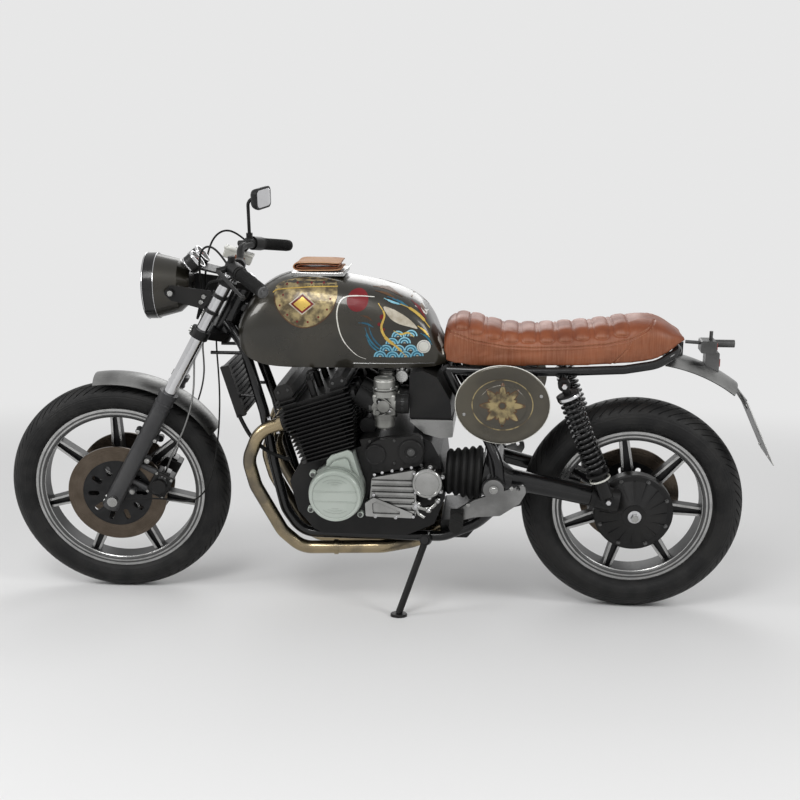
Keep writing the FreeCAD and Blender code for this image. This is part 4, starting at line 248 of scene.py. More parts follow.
# Finishes: colour and a second shade mixed in by noise, painted shade darkened into corners on some, then
# gloss and the grain of the surface
# The grime key (paintedShade) is the share of its colour a finish keeps where ambient occlusion finds
# corners: painted shade. None leaves it out
plainFinish = {"metal": 0.0, "coat": 0.0, "coatRough": 0.06, "specular": 0.5, "spread": 9, "stretch": None,
               "paintedShade": None, "paintedShadeReach": 0.012, "paintedShadeFade": (0.35, 0.9), "roughLow": 0.8,
               "roughHigh": 1.25}
paint = {"rough": 0.3, "coat": 0.08, "specular": 0.2, "grain": 60, "bump": 0.02}
finishes = {
    "blackGloss": {"colour": (0.004, 0.004, 0.0045), "shade": (0.008, 0.008, 0.008), "rough": 0.22,
                   "coat": 0.15,
                   "specular": 0.35, "grain": 60, "bump": 0.02},
    "blackSatin": {"colour": (0.004, 0.004, 0.0042), "shade": (0.010, 0.0095, 0.009), "rough": 0.38,
                   "specular": 0.28, "grain": 240, "bump": 0.12, "paintedShade": 0.3},
    "blackPlastic": {"colour": (0.005, 0.005, 0.005), "shade": (0.010, 0.010, 0.010), "rough": 0.5,
                     "specular": 0.25, "grain": 500, "bump": 0.15},
    "rubber": {"colour": (0.005, 0.005, 0.005), "shade": (0.011, 0.011, 0.0105), "rough": 0.62,
               "specular": 0.2,
               "grain": 300, "bump": 0.18},
    "chrome": {"colour": (0.62, 0.62, 0.63), "shade": (0.54, 0.54, 0.55), "rough": 0.10, "metal": 1.0,
               "grain": 25, "bump": 0.01},
    "brightSteel": {"colour": (0.46, 0.46, 0.45), "shade": (0.33, 0.33, 0.32), "rough": 0.28, "metal": 1.0,
                    "grain": 120, "bump": 0.05},
    "darkSteel": {"colour": (0.13, 0.13, 0.13), "shade": (0.07, 0.07, 0.068), "rough": 0.36, "metal": 0.9,
                  "grain": 160, "bump": 0.06},
    "brushedAluminium": {"colour": (0.27, 0.27, 0.265), "shade": (0.16, 0.16, 0.157), "rough": 0.32,
                         "metal": 1.0, "grain": 30, "bump": 0.14, "stretch": (1, 1, 30), "paintedShade": 0.35},
    "castAluminium": {"colour": (0.33, 0.33, 0.31), "shade": (0.16, 0.16, 0.15), "rough": 0.42, "metal": 0.9,
                      "grain": 380, "bump": 0.25, "paintedShade": 0.12},
    "polishedCasting": {"colour": (0.44, 0.44, 0.43), "shade": (0.30, 0.30, 0.29), "rough": 0.20,
                        "metal": 1.0,
                        "grain": 70, "bump": 0.05, "paintedShade": 0.12},
    "sliderGrey": {"colour": (0.038, 0.038, 0.040), "shade": (0.055, 0.055, 0.056), "rough": 0.42,
                   "metal": 0.5,
                   "grain": 320, "bump": 0.12},
    "paleSilver": {"colour": (0.42, 0.46, 0.42), "shade": (0.34, 0.38, 0.34), "rough": 0.42, "metal": 0.2,
                   "coat": 0.2, "grain": 160, "bump": 0.05, "paintedShade": 0.3},
    "bronzePaint": {"colour": (0.019, 0.017, 0.012), "shade": (0.030, 0.026, 0.018), "rough": 0.30,
                    "metal": 0.5,
                    "coat": 0.5, "grain": 14, "bump": 0.01},
    "coverBronze": {"colour": (0.042, 0.036, 0.024), "shade": (0.064, 0.055, 0.036), "rough": 0.32,
                    "metal": 0.6,
                    "coat": 0.7, "grain": 14, "bump": 0.01},
    "headerSteel": {"colour": (0.36, 0.29, 0.18), "shade": (0.15, 0.13, 0.10), "rough": 0.26, "metal": 1.0,
                    "grain": 9, "bump": 0.04},
    "milkyPlastic": {"colour": (0.60, 0.60, 0.56), "shade": (0.50, 0.49, 0.43), "rough": 0.4, "grain": 40,
                     "bump": 0.02},
    "redGloss": {"colour": (0.26, 0.010, 0.008), "shade": (0.18, 0.008, 0.008), "rough": 0.2, "coat": 0.5,
                 "grain": 80, "bump": 0.02},
    "paleStripe": {"colour": (0.70, 0.69, 0.64), "shade": (0.60, 0.59, 0.53), "rough": 0.3, "coat": 0.6,
                   "grain": 60, "bump": 0.02},
    "goldLeaf": {"colour": (0.34, 0.27, 0.13), "shade": (0.075, 0.055, 0.030), "rough": 0.36, "metal": 0.6,
                 "coat": 0.3, "grain": 130, "bump": 0.05, "spread": 42},
    "goldLine": {**paint, "colour": (0.60, 0.42, 0.10), "shade": (0.45, 0.30, 0.07), "metal": 0.4},
    "deepRed": {**paint, "colour": (0.17, 0.012, 0.016), "shade": (0.11, 0.008, 0.010), "rough": 0.35},
    "waterBlue": {**paint, "colour": (0.03, 0.16, 0.24), "shade": (0.02, 0.08, 0.13), "spread": 40},
    "paleBlue": {**paint, "colour": (0.25, 0.50, 0.60), "shade": (0.14, 0.36, 0.48)},
    "creamPaint": {**paint, "colour": (0.50, 0.46, 0.38), "shade": (0.34, 0.30, 0.23), "spread": 40},
    "brownPaint": {**paint, "colour": (0.11, 0.055, 0.025), "shade": (0.06, 0.03, 0.016)},
    "saddleLeather": {"colour": (0.30, 0.095, 0.034), "shade": (0.18, 0.052, 0.020), "rough": 0.5,
                      "coat": 0.1,
                      "grain": 420, "bump": 0.35, "spread": 24},
    "leatherEdge": {"colour": (0.42, 0.23, 0.12), "shade": (0.30, 0.13, 0.06), "rough": 0.65, "grain": 500,
                    "bump": 0.3},
    "thread": {"colour": (0.36, 0.19, 0.09), "shade": (0.28, 0.14, 0.07), "rough": 0.7, "grain": 900,
               "bump": 0.3},
}
madeFinishes = {}


def finish(name):
    # Material of a named finish, made once
    if name in madeFinishes:
        return madeFinishes[name]
    look = {**plainFinish, **finishes[name]}
    tree = Tree(bpy.data.materials.new(name))
    colour = tree.blend(tree.patches(look["spread"], 5), look["colour"], look["shade"])
    # Painted shade: the colour is darkened where ambient occlusion finds corners, recesses and gaps between
    # parts
    if look["paintedShade"]:
        corners = tree.add("AmbientOcclusion", {"Distance": look["paintedShadeReach"]}, samples=6)
        unshaded = tree.smooth(corners.outputs["AO"], *look["paintedShadeFade"])
        colour = tree.blend(unshaded, tuple(tone * look["paintedShade"] for tone in look["colour"]), colour)
    fine = tree.noise(look["grain"], 3, look["stretch"])
    gloss = tree.gloss(fine, look["rough"] * look["roughLow"], look["rough"] * look["roughHigh"])
    tree.paint({"Base Color": colour, "Metallic": look["metal"], "Roughness": gloss,
                "Specular IOR Level": look["specular"], "Coat Weight": look["coat"],
                "Coat Roughness": look["coatRough"], "Normal": tree.bump(fine, look["bump"])})
    madeFinishes[name] = tree.owner
    return tree.owner


nodeFinishes = {
    "chrome": ["fork_tubes"],
    "sliderGrey": ["fork_sliders"],
    "brightSteel": ["front_axle", "tank_fittings", "rear_axle"],
    "blackSatin": ["upper_yoke", "lower_yoke", "headlamp_ears", "handlebar", "controls", "gauges",
                   "front_calipers", "rear_caliper", "crankcase", "cylinder_block", "cylinder_head",
                   "cam_cover",
                   "crankcase_covers", "airbox", "silencer", "oil_cooler", "final_drive", "shock_dampers",
                   "side_stand"],
    "blackGloss": ["headlamp_rim", "shock_springs", "main_frame", "swingarm"],
    "blackPlastic": ["mirror", "battery_box"],
    "rubber": ["grips", "intake_rubbers", "footpegs", "drive_boot"],
    "bronzePaint": ["headlamp_shell", "fuel_tank"],
    "coverBronze": ["side_covers"],
    "milkyPlastic": ["brake_reservoir"],
    "brushedAluminium": ["front_fender", "rear_fender", "airbox_tray", "footrest_plates"],
    "paleSilver": ["generator_cover"],
    "polishedCasting": ["gear_cover"],
    "castAluminium": ["carburettors"],
    "headerSteel": ["exhaust_headers"],
    "darkSteel": ["tail_lamp"],
}


def paintNode(name, material):
    piece = frame["nodes"][name]
    piece.data.materials.clear()
    piece.data.materials.append(material)


def wheelCoords(tree, centre, axis):
    # Distance from an axle line, place along it, and angle round it
    offset = tree.add("VectorMath", {0: tree.place(), 1: centre}, operation="SUBTRACT").outputs[0]
    along = tree.math("ABSOLUTE", tree.dot(offset, axis))
    first = axis.orthogonal().normalized()
    one, two = tree.dot(offset, first), tree.dot(offset, axis.cross(first))
    radius = tree.math("SQRT", tree.plus(tree.times(one, one), tree.times(two, two)))
    return radius, along, tree.math("ARCTAN2", two, one)


wheelLook = {"paint": (0.004, 0.004, 0.0045), "paintShade": (0.010, 0.010, 0.0105),
             "bright": (0.44, 0.44, 0.435),
             "brightShade": (0.36, 0.36, 0.355), "ribInner": 0.048, "ribEnd": 0.004,
             "ribPlace": (0.0160, 0.0180),
             "ribFacing": 0.75, "rimPlace": 0.0245, "rimFacing": 0.3, "rimEdge": 0.001,
             "rimLines": ((0.0, 0.0022), (0.0105, 0.0150), (0.0205, 0.0300)), "rimDull": 0.16,
             "rough": (0.36, 0.24), "roughGrain": (-0.05, 0.06), "ringsPerMetre": 2200, "bump": 0.12}


def wheelFinish(name, centre, axis, rimInner):
    # Dark cast wheel with the faces of its ribs and rim turned bright
    look = wheelLook
    tree = Tree(bpy.data.materials.new(name))
    radius, along, angle = wheelCoords(tree, centre, axis)
    facing = tree.math("ABSOLUTE", tree.facing(axis))
    rib = tree.times(tree.within(radius, look["ribInner"], rimInner + look["ribEnd"]),
                     tree.within(along, *look["ribPlace"]))
    lines = 0.0
    for low, high in look["rimLines"]:
        lines = tree.math("MAXIMUM", lines, tree.within(radius, rimInner + low, rimInner + high))
    lines = tree.linear(lines, 0, 1, look["rimDull"], 1.0)
    edge = tree.times(tree.math("GREATER_THAN", radius, rimInner - look["rimEdge"]),
                      tree.math("GREATER_THAN", along, look["rimPlace"]))
    rim = tree.times(tree.times(edge, lines), tree.math("GREATER_THAN", facing, look["rimFacing"]))
    rib = tree.times(rib, tree.math("GREATER_THAN", facing, look["ribFacing"]))
    bright = tree.math("MAXIMUM", rib, rim, clamp=True)
    share = tree.patches(30, 4)
    dark = tree.blend(share, look["paint"], look["paintShade"])
    metal = tree.blend(share, look["bright"], look["brightShade"])
    fine = tree.noise(300, 3)
    gloss = tree.plus(tree.linear(bright, 0, 1, *look["rough"]), tree.gloss(fine, *look["roughGrain"]))
    rings = tree.times(tree.math("SINE", tree.times(radius, look["ringsPerMetre"])), bright)
    tree.paint({"Base Color": tree.blend(bright, dark, metal), "Metallic": bright, "Roughness": gloss,
                "Specular IOR Level": 0.3, "Normal": tree.bump(tree.plus(fine, rings), look["bump"])})
    return tree.owner


discLook = {"colour": (0.075, 0.058, 0.043), "shade": (0.125, 0.100, 0.078), "rough": (0.24, 0.375),
            "ringsPerMetre": 900, "ringShare": 0.6, "bump": 0.2}


def discFinish(name, centre, axis):
    # Ground steel with fine rings, brown from heat
    look = discLook
    tree = Tree(bpy.data.materials.new(name))
    radius = wheelCoords(tree, centre, axis)[0]
    rings = tree.add("TexNoise", {"Scale": look["ringsPerMetre"], "Detail": 4, "W": radius},
                     noise_dimensions="1D").outputs["Fac"]
    share = tree.plus(tree.times(rings, look["ringShare"]),
                      tree.times(tree.noise(26, 4), 1 - look["ringShare"]))
    colour = tree.blend(tree.smooth(share, *tree.patchRange), look["colour"], look["shade"])
    tree.paint({"Base Color": colour, "Metallic": 0.9, "Roughness": tree.gloss(rings, *look["rough"]),
                "Normal": tree.bump(rings, look["bump"], 0.0006)})
    return tree.owner


tyreLook = {"colour": (0.006, 0.006, 0.0062), "shade": (0.014, 0.0137, 0.0133), "rough": (0.4675, 0.66),
            "ringEdge": (0.0008, 0.0022), "teeth": 260, "teethBand": (0.004, 0.012), "teethHeight": 0.35,
            "grainHeight": 0.12, "bump": 0.55}


def tyreFinish(name, centre, axis, sideRadii):
    # Rubber with moulded rings on its walls and fine teeth above the rim
    look = tyreLook
    tree = Tree(bpy.data.materials.new(name))
    radius, along, angle = wheelCoords(tree, centre, axis)
    fine = tree.noise(260, 3)
    height = tree.times(fine, look["grainHeight"])
    for ringRadius in sideRadii:
        gap = tree.math("ABSOLUTE", tree.math("SUBTRACT", radius, ringRadius))
        height = tree.plus(height, tree.smooth(gap, *look["ringEdge"], 1.0, 0.0))
    band = tree.within(radius, *(sideRadii[0] + reach for reach in look["teethBand"]))
    teeth = tree.times(tree.math("SINE", tree.times(angle, look["teeth"])), band)
    height = tree.plus(height, tree.times(teeth, look["teethHeight"]))
    tree.paint({"Base Color": tree.blend(tree.patches(18, 5), look["colour"], look["shade"]),
                "Roughness": tree.gloss(fine, *look["rough"]), "Specular IOR Level": 0.25,
                "Normal": tree.bump(height, look["bump"], 0.0008)})
    return tree.owner


plateLook = {"white": (0.58, 0.58, 0.565), "whiteShade": (0.55, 0.55, 0.535), "back": (0.014, 0.014, 0.014),
             "backShade": (0.026, 0.026, 0.026), "rough": (0.30, 0.42), "bump": 0.03}


def plateFinish():
    # Blank plate, white behind and dark in front
    look = plateLook
    tree = Tree(bpy.data.materials.new("plateSheet"))
    dark = tree.math("GREATER_THAN", tree.facing(forwardWay), 0.3)
    cloud = tree.noise(30, 4)
    share = tree.smooth(cloud, *tree.patchRange)
    white = tree.blend(share, look["white"], look["whiteShade"])
    black = tree.blend(share, look["back"], look["backShade"])
    tree.paint({"Base Color": tree.blend(dark, white, black), "Roughness": tree.gloss(cloud, *look["rough"]),
                "Normal": tree.bump(tree.noise(300, 2), look["bump"])})
    return tree.owner


glassLook = {"colour": (0.92, 0.94, 0.95), "shade": (0.86, 0.89, 0.90), "rough": (0.02, 0.07), "bend": 1.3,
             "flutesPerMetre": 700, "bump": 0.35}


def glassFinish():
    # Clear fluted glass
    look = glassLook
    tree = Tree(bpy.data.materials.new("lampGlass"))
    cloud = tree.noise(20, 2)
    flutes = tree.math("SINE", tree.times(tree.dot(tree.place(), leftWay), look["flutesPerMetre"]))
    tree.paint({"Base Color": tree.blend(cloud, look["colour"], look["shade"]), "IOR": look["bend"],
                "Transmission Weight": 1.0, "Roughness": tree.gloss(cloud, *look["rough"]),
                "Normal": tree.bump(flutes, look["bump"])})
    return tree.owner


hideLook = {"colour": (0.235, 0.062, 0.019), "shade": (0.150, 0.036, 0.011), "worn": (0.30, 0.135, 0.075),
            "streaks": 240, "streakStretch": (1, 0.25, 0.06), "sideFrom": (0.55, 0.95),
            "streakFrom": (0.35, 0.75),
            "wear": (0.15, 0.6), "rough": (0.36, 0.52), "grain": 520, "grainHeight": 0.8, "streakHeight": 0.5,
            "bump": 0.30}


def seatFinish():
    # Cognac leather: browner in broad patches, paler and streaked upward on its sides
    look = hideLook
    tree = Tree(bpy.data.materials.new("cognacLeather"))
    broad = tree.noise(14, 6)
    colour = tree.blend(tree.smooth(broad, *tree.grainRange), look["colour"], look["shade"])
    streak = tree.noise(look["streaks"], 3, look["streakStretch"])
    sideways = tree.math("ABSOLUTE", tree.facing(leftWay, "Normal"))
    worn = tree.times(tree.smooth(sideways, *look["sideFrom"]),
                      tree.linear(streak, *look["streakFrom"], *look["wear"]))
    grain = tree.add("TexVoronoi", {"Scale": look["grain"], "Vector": tree.place()}).outputs["Distance"]
    fine = tree.plus(tree.times(grain, look["grainHeight"]), tree.times(streak, look["streakHeight"]))
    tree.paint({"Base Color": tree.blend(worn, colour, look["worn"]), "Specular IOR Level": 0.35,
                "Roughness": tree.gloss(broad, *look["rough"]),
                "Normal": tree.bump(fine, look["bump"], 0.0006)})
    return tree.owner


for look, nodeNames in nodeFinishes.items():
    for nodeName in nodeNames:
        paintNode(nodeName, finish(look))
paintNode("front_wheel", wheelFinish("frontWheelPaint", frontAxle, frontWay, 0.2295))
paintNode("rear_wheel", wheelFinish("rearWheelPaint", rearAxle, leftWay, 0.2030))
paintNode("front_discs", discFinish("frontDiscSteel", frontAxle, frontWay))
paintNode("rear_disc", discFinish("rearDiscSteel", rearAxle, leftWay))
paintNode("front_tyre", tyreFinish("frontTyreRubber", frontAxle, frontWay, (0.268, 0.284, 0.298, 0.304)))
paintNode("rear_tyre", tyreFinish("rearTyreRubber", rearAxle, leftWay, (0.242, 0.262, 0.280, 0.287)))
paintNode("number_plate", plateFinish())
paintNode("headlamp_lens", glassFinish())
print("CAD nodes painted")


# Forms are a list of points and a list of faces
def joined(forms):
    verts, faces = [], []
    for formVerts, formFaces in forms:
        start = len(verts)
        verts += [Vector(vert) for vert in formVerts]
        faces += [tuple(start + index for index in face) for face in formFaces]
    return verts, faces


def moved(form, matrix):
    return [matrix @ Vector(vert) for vert in form[0]], form[1]


def aimed(place, direction, spin=0.0):
    turn = Vector(direction).to_track_quat("Z", "Y").to_matrix().to_4x4()
    return Matrix.Translation(place) @ turn @ Matrix.Rotation(math.radians(spin), 4, "Z")


def at(form, place, direction=None):
    # A form set down at a place, and its z axis turned to a direction
    return moved(form, Matrix.Translation(place) if direction is None else aimed(place, direction))


def spun(profile, steps=40):
    # Lathe round z of points (radius, height)
    verts, rings, faces = [], [], []
    for radius, height in profile:
        count = steps if radius > 1e-6 else 1
        rings.append(range(len(verts), len(verts) + count))
        for step in range(count):
            angle = 2 * math.pi * step / steps
            verts.append(Vector((radius * math.cos(angle), radius * math.sin(angle), height)))
    for low, high in zip(rings, rings[1:]):
        for step in range(steps):
            after = (step + 1) % steps
            corners = [low[step % len(low)], low[after % len(low)], high[after % len(high)],
                       high[step % len(high)]]
            face = tuple(dict.fromkeys(corners))
            if len(face) > 2:
                faces.append(face)
    return verts, faces


def knobForm(profile, steps=24):
    # Lathe closed by flat ends
    return spun([(0, profile[0][1]), *profile, (0, profile[-1][1])], steps)


def ringForm(inner, outer, low, high, edge=0.8, steps=48):
    return spun([(inner, low), (inner, high - edge), (inner + edge, high), (outer - edge, high),
                 (outer, high - edge), (outer, low), (inner, low)], steps)


def blockForm(length, width, height, edge=1.5):
    shape = bmesh.new()
    bmesh.ops.create_cube(shape, size=1, matrix=Matrix.Diagonal((length, width, height, 1)))
    bmesh.ops.bevel(shape, geom=shape.edges[:], offset=edge, segments=2, profile=0.6, affect="EDGES")
    shape.verts.index_update()
    verts = [vert.co.copy() for vert in shape.verts]
    faces = [tuple(vert.index for vert in face.verts) for face in shape.faces]
    shape.free()
    return verts, faces


def cubicPoints(points, count):
    # Smooth line through all but the first and the last point
    line = []
    for first, second, third, fourth in zip(points, points[1:], points[2:], points[3:]):
        for step in range(count):
            t = step / count
            line.append(0.5 * (2 * second + (third - first) * t
                               + (2 * first - 5 * second + 4 * third - fourth) * t * t
                               + (3 * second - first - 3 * third + fourth) * t ** 3))
    return line


def curvePoints(points, count=6):
    points = [Vector(point) for point in points]
    ends = [2 * points[0] - points[1], *points, 2 * points[-1] - points[-2]]
    return cubicPoints(ends, count) + [points[-1]]


def loopPoints(points, count=6):
    points = [Vector((*point, 0)) for point in points]
    return [(point.x, point.y) for point in cubicPoints([points[-1], *points, points[0], points[1]], count)]


def arcPoints(centre, wide, tall=None, count=28, turn=2 * math.pi, extra=0):
    # Points round an ellipse, or along a part of it
    tall = wide if tall is None else tall
    angles = [turn * step / count for step in range(count + extra)]
    return [(centre[0] + wide * math.cos(angle), centre[1] + tall * math.sin(angle)) for angle in angles]


def swept(line, section, normal=(0, 0, 1), sizes=None, closed=False):
    # A closed section of (across, along the normal) carried along a line of points
    line = [Vector(point) for point in line]
    verts, faces = [], []
    normal = Vector(normal)
    last = len(line) - 1
    for index, point in enumerate(line):
        before = line[index - 1] if index or closed else point
        after = line[(index + 1) % len(line)] if index < last or closed else point
        along = (after - before).normalized()
        normal = (normal - along * normal.dot(along)).normalized()
        across = along.cross(normal)
        size = sizes[index] if sizes else 1
        verts += [point + (across * u + normal * v) * size for u, v in section]
    count = len(section)
    for index in range(len(line) if closed else last):
        low, high = index * count, (index + 1) % len(line) * count
        for step in range(count):
            after = (step + 1) % count
            faces.append((low + step, low + after, high + after, high + step))
    if not closed:
        faces.append(tuple(range(count)))
        faces.append(tuple(reversed(range(last * count, (last + 1) * count))))
    return verts, faces


def roundSection(radius, steps=10):
    return arcPoints((0, 0), radius, count=steps)


def bandSection(width, thick, edge=0.4):
    u, v = width / 2, thick / 2
    return [(-u + edge, -v), (u - edge, -v), (u, -v + edge), (u, v - edge), (u - edge, v), (-u + edge, v),
            (-u, v - edge), (-u, -v + edge)]


def wire(points, radius, steps=10):
    return swept(curvePoints(points), roundSection(radius, steps))


# Bolt heads: sides, width of the foot, then points as shares of the radius and the height
boltLook = {
    "sunk": 1.5,
    "spin": 17,
    "hex": [(20, 1.35, [(1.35, 0.22), (0, 0.22)]), (6, 1, [(1, 0.85), (0.85, 1), (0, 1)])],
    "socket": [(18, 1, [(1, 0.85), (0.88, 1), (0.56, 1), (0.52, 0.4), (0, 0.4)])],
    "dome": [(18, 1, [(0.97, 0.4), (0.75, 0.82), (0.35, 0.98), (0, 1)])],
}


def boltForm(radius, height, kind):
    forms = []
    for steps, foot, shares in boltLook[kind]:
        profile = [(0, -boltLook["sunk"]), (radius * foot, -boltLook["sunk"])]
        forms.append(spun(profile + [(radius * wide, height * high) for wide, high in shares], steps))
    return joined(forms)


def addPiece(name, forms, look, body, where="upright", crease=35):
    verts, faces = joined(forms)
    mesh = bpy.data.meshes.new(name)
    mesh.from_pydata([places[where] @ vert for vert in verts], [], faces)
    shape = bmesh.new()
    shape.from_mesh(mesh)
    bmesh.ops.recalc_face_normals(shape, faces=shape.faces[:])
    shape.to_mesh(mesh)
    shape.free()
    mesh.shade_smooth()
    mesh.set_sharp_from_angle(angle=math.radians(crease))
    piece = bpy.data.objects.new(name, mesh)
    bpy.context.scene.collection.objects.link(piece)
    mesh.materials.append(look if isinstance(look, bpy.types.Material) else finish(look))
    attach(piece, body)
    return piece


def addBolts(name, rows, look, body="frame", where="upright"):
    # Rows of place, direction, radius, height and kind
    forms = [moved(boltForm(radius, height, kind), aimed(place, direction, boltLook["spin"] * index))
             for index, (place, direction, radius, height, kind) in enumerate(rows)]
    addPiece(name, forms, look, body, where)


def skinOf(piece):
    # Surface of a piece in the upright frame, for casting onto
    back = places["upright"].inverted() @ piece.matrix_world
    return BVHTree.FromPolygons([back @ vert.co for vert in piece.data.vertices],
                                [tuple(face.vertices) for face in piece.data.polygons])


def castAcross(skin, x, z, side, lift):
    # Point of the surface seen from one side, raised off it
    place, normal, face, distance = skin.ray_cast(Vector((x, side * 420, z)), Vector((0, -side, 0)))
    if place is None:
        return None
    return place + (normal if normal.y * side >= 0 else -normal) * lift


def patchForm(outline, skin, side=1, spacing=6.0, lift=0.4):
    # Thin coat of paint: an outline in x and z laid across onto a skin
    outline = [Vector(point) for point in outline]
    lowX, lowZ = (min(point[way] for point in outline) for way in (0, 1))
    highX, highZ = (max(point[way] for point in outline) for way in (0, 1))

    def inside(x, z):
        crossings = False
        for first, second in zip(outline, outline[1:] + outline[:1]):
            if (first.y > z) != (second.y > z):
                if x < first.x + (z - first.y) / (second.y - first.y) * (second.x - first.x):
                    crossings = not crossings
        return crossings

    points = list(outline)
    for column in range(int((highX - lowX) / spacing) + 1):
        for row in range(int((highZ - lowZ) / spacing) + 1):
            spot = Vector((lowX + (column + 0.5) * spacing, lowZ + (row + 0.5) * spacing))
            if inside(*spot) and min((point - spot).length for point in outline) > spacing * 0.45:
                points.append(spot)
    coords, edges, faces, *rest = delaunay_2d_cdt(points, [], [list(range(len(outline)))], 1, 1e-5)
    laid = [castAcross(skin, point.x, point.y, side, lift) for point in coords]
    kept = {index: place for index, place in enumerate(laid) if place is not None}
    order = {index: count for count, index in enumerate(kept)}
    faces = [tuple(order[index] for index in face) for face in faces if all(index in kept for index in face)]
    return list(kept.values()), faces


def stripeForm(points, widths, skin, side=1, lift=0.6, count=8):
    # Painted line along points in x and z, laid across onto a skin; its widths are spread along it
    line = curvePoints([(x, z, 0) for x, z in points], count)
    verts, faces, rows = [], [], 0
    for index, point in enumerate(line):
        along = (line[min(index + 1, len(line) - 1)] - line[max(index - 1, 0)]).normalized()
        across = Vector((-along.y, along.x, 0)) * widths[index * len(widths) // len(line)] / 2
        row = []
        for share in (-1, 0, 1):
            place = point + across * share
            row.append(castAcross(skin, place.x, place.y, side, lift))
        if any(place is None for place in row):
            continue
        verts += row
        if rows:
            start = rows * 3
            faces += [(start - 3, start - 2, start + 1, start), (start - 2, start - 1, start + 2, start + 1)]
        rows += 1
    return verts, faces


def splineLength(points):
    # Length of the quadratic spline over the control points
    total, last = 0, len(points) - 1
    for index in range(1, last):
        start = points[0] if index == 1 else (points[index - 1] + points[index]) / 2
        end = points[last] if index == last - 1 else (points[index] + points[index + 1]) / 2
        before = start
        for step in range(1, 13):
            t = step / 12
            place = start * (1 - t) ** 2 + points[index] * 2 * t * (1 - t) + end * t * t
            total += (place - before).length
            before = place
    return total


def addCord(name, points, diameter, look, body, where):
    # Smooth spline with the route's points as its control points
    line = bpy.data.curves.new(name, "CURVE")
    line.dimensions = "3D"
    spline = line.splines.new("NURBS")
    spline.points.add(len(points) - 1)
    placed = [places[where] @ Vector(point) for point in points]
    for point, place in zip(spline.points, placed):
        point.co = (*place, 1)
    spline.order_u = 3
    spline.use_endpoint_u = True
    line.resolution_u = 10
    line.bevel_depth = diameter / 2000
    line.bevel_resolution = 4
    line.use_fill_caps = True
    piece = bpy.data.objects.new(name, line)
    bpy.context.scene.collection.objects.link(piece)
    line.materials.append(finish(look))
    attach(piece, body)
    length = splineLength(placed)
    print("cord", name, round(length, 3), "m")


# Tyres with a cut tread: angles in degrees off the crown, shares of the pitch for its columns
treadLook = {"pitches": 66, "shares": (0, 0.06, 0.14, 0.20, 0.34, 0.48, 0.62, 0.76, 0.90),
             "cutShares": (0.06, 0.14),
             "cutAngles": (4.0, 56.0), "fadeIn": 3, "fadeOut": 8, "slant": 14.28, "slantPower": 1.3,
             "depth": 2.6,
             "groove": 21.0, "grooveHalf": 1.4, "crownEnd": 60, "crownSteps": 40, "wallSteps": 12,
             "overRim": 0.3, "pastRim": 0.7, "beadDrop": 1, "beadIn": 7}
tyreSizes = {
    "front_tyre": (334, 50, 47, 257.5, 31, "front_wheel_group", "frontWheel"),
    "rear_tyre": (322, 66, 63, 231, 39, "rear_wheel_group", "rearWheel"),
}


def cutShare(angle, share):
    # Depth of the tread's cuts as a share of the full depth
    low, high = treadLook["cutAngles"]
    if abs(angle - treadLook["groove"]) < treadLook["grooveHalf"]:
        return 1.0
    if low < angle < high and share in treadLook["cutShares"]:
        return min(1.0, (angle - low) / treadLook["fadeIn"], (high - angle) / treadLook["fadeOut"])
    return 0.0


def circleThrough(first, second, third):
    (ax, ay), (bx, by), (cx, cy) = first, second, third
    a, b, c = ax * ax + ay * ay, bx * bx + by * by, cx * cx + cy * cy
    twice = 2 * (ax * (by - cy) + bx * (cy - ay) + cx * (ay - by))
    x = (a * (by - cy) + b * (cy - ay) + c * (ay - by)) / twice
    y = (a * (cx - bx) + b * (ax - cx) + c * (bx - ax)) / twice
    return x, y, math.hypot(ax - x, ay - y)


def tyreForm(radius, crownRadius, halfWidth, rimRadius, rimHalf):
    # Crown with slanted cuts, round walls and a bead, as a closed skin round y
    look = treadLook
    crownCentre = radius - crownRadius
    lip = (rimRadius + look["overRim"], rimHalf + look["pastRim"])
    crownEnd = math.radians(look["crownEnd"])
    shoulder = (crownCentre + crownRadius * math.cos(crownEnd), crownRadius * math.sin(crownEnd))
    wallX, wallY, wallRadius = circleThrough(lip, ((lip[0] + shoulder[0]) / 2, halfWidth), shoulder)
    start, end = (math.atan2(point[1] - wallY, point[0] - wallX) for point in (shoulder, lip))
    side = [("crown", look["crownEnd"] * step / look["crownSteps"]) for step in range(look["crownSteps"] + 1)]
    side += [("wall", start + (end - start) * step / look["wallSteps"])
             for step in range(1, look["wallSteps"] + 1)]
    profile = [(*station, -1) for station in reversed(side[1:])] + [(*station, 1) for station in side]
    pitchAngle, total = 2 * math.pi / look["pitches"], look["pitches"] * len(look["shares"])
    verts, faces = [], []
    for kind, value, way in profile:
        slant = look["slant"] * (1 if kind == "wall" else (value / look["crownEnd"]) ** look["slantPower"])
        for index in range(total):
            pitch, column = divmod(index, len(look["shares"]))
            share = look["shares"][column]
            if kind == "wall":
                reach, across = wallX + wallRadius * math.cos(value), wallY + wallRadius * math.sin(value)
            else:
                crown = crownRadius - look["depth"] * cutShare(value, share)
                reach = crownCentre + crown * math.cos(math.radians(value))
                across = crown * math.sin(math.radians(value))
            angle = pitchAngle * (pitch + share) + math.radians(slant)
            verts.append(Vector((reach * math.cos(angle), across * way, -reach * math.sin(angle))))
    for low in range(0, (len(profile) - 1) * total, total):
        for index in range(total):
            after = (index + 1) % total
            faces.append((low + index, low + after, low + total + after, low + total + index))
    # Beads turn in over the rim
    for low, way in (((len(profile) - 1) * total, 1), (0, -1)):
        ring = len(verts)
        for place in verts[low:low + total]:
            shrink = (lip[0] - look["beadDrop"]) / math.hypot(place.x, place.z)
            verts.append(Vector((place.x * shrink, (lip[1] - look["beadIn"]) * way, place.z * shrink)))
        for index in range(total):
            after = (index + 1) % total
            face = (low + index, low + after, ring + after, ring + index)
            faces.append(face if way > 0 else tuple(reversed(face)))
    return verts, faces


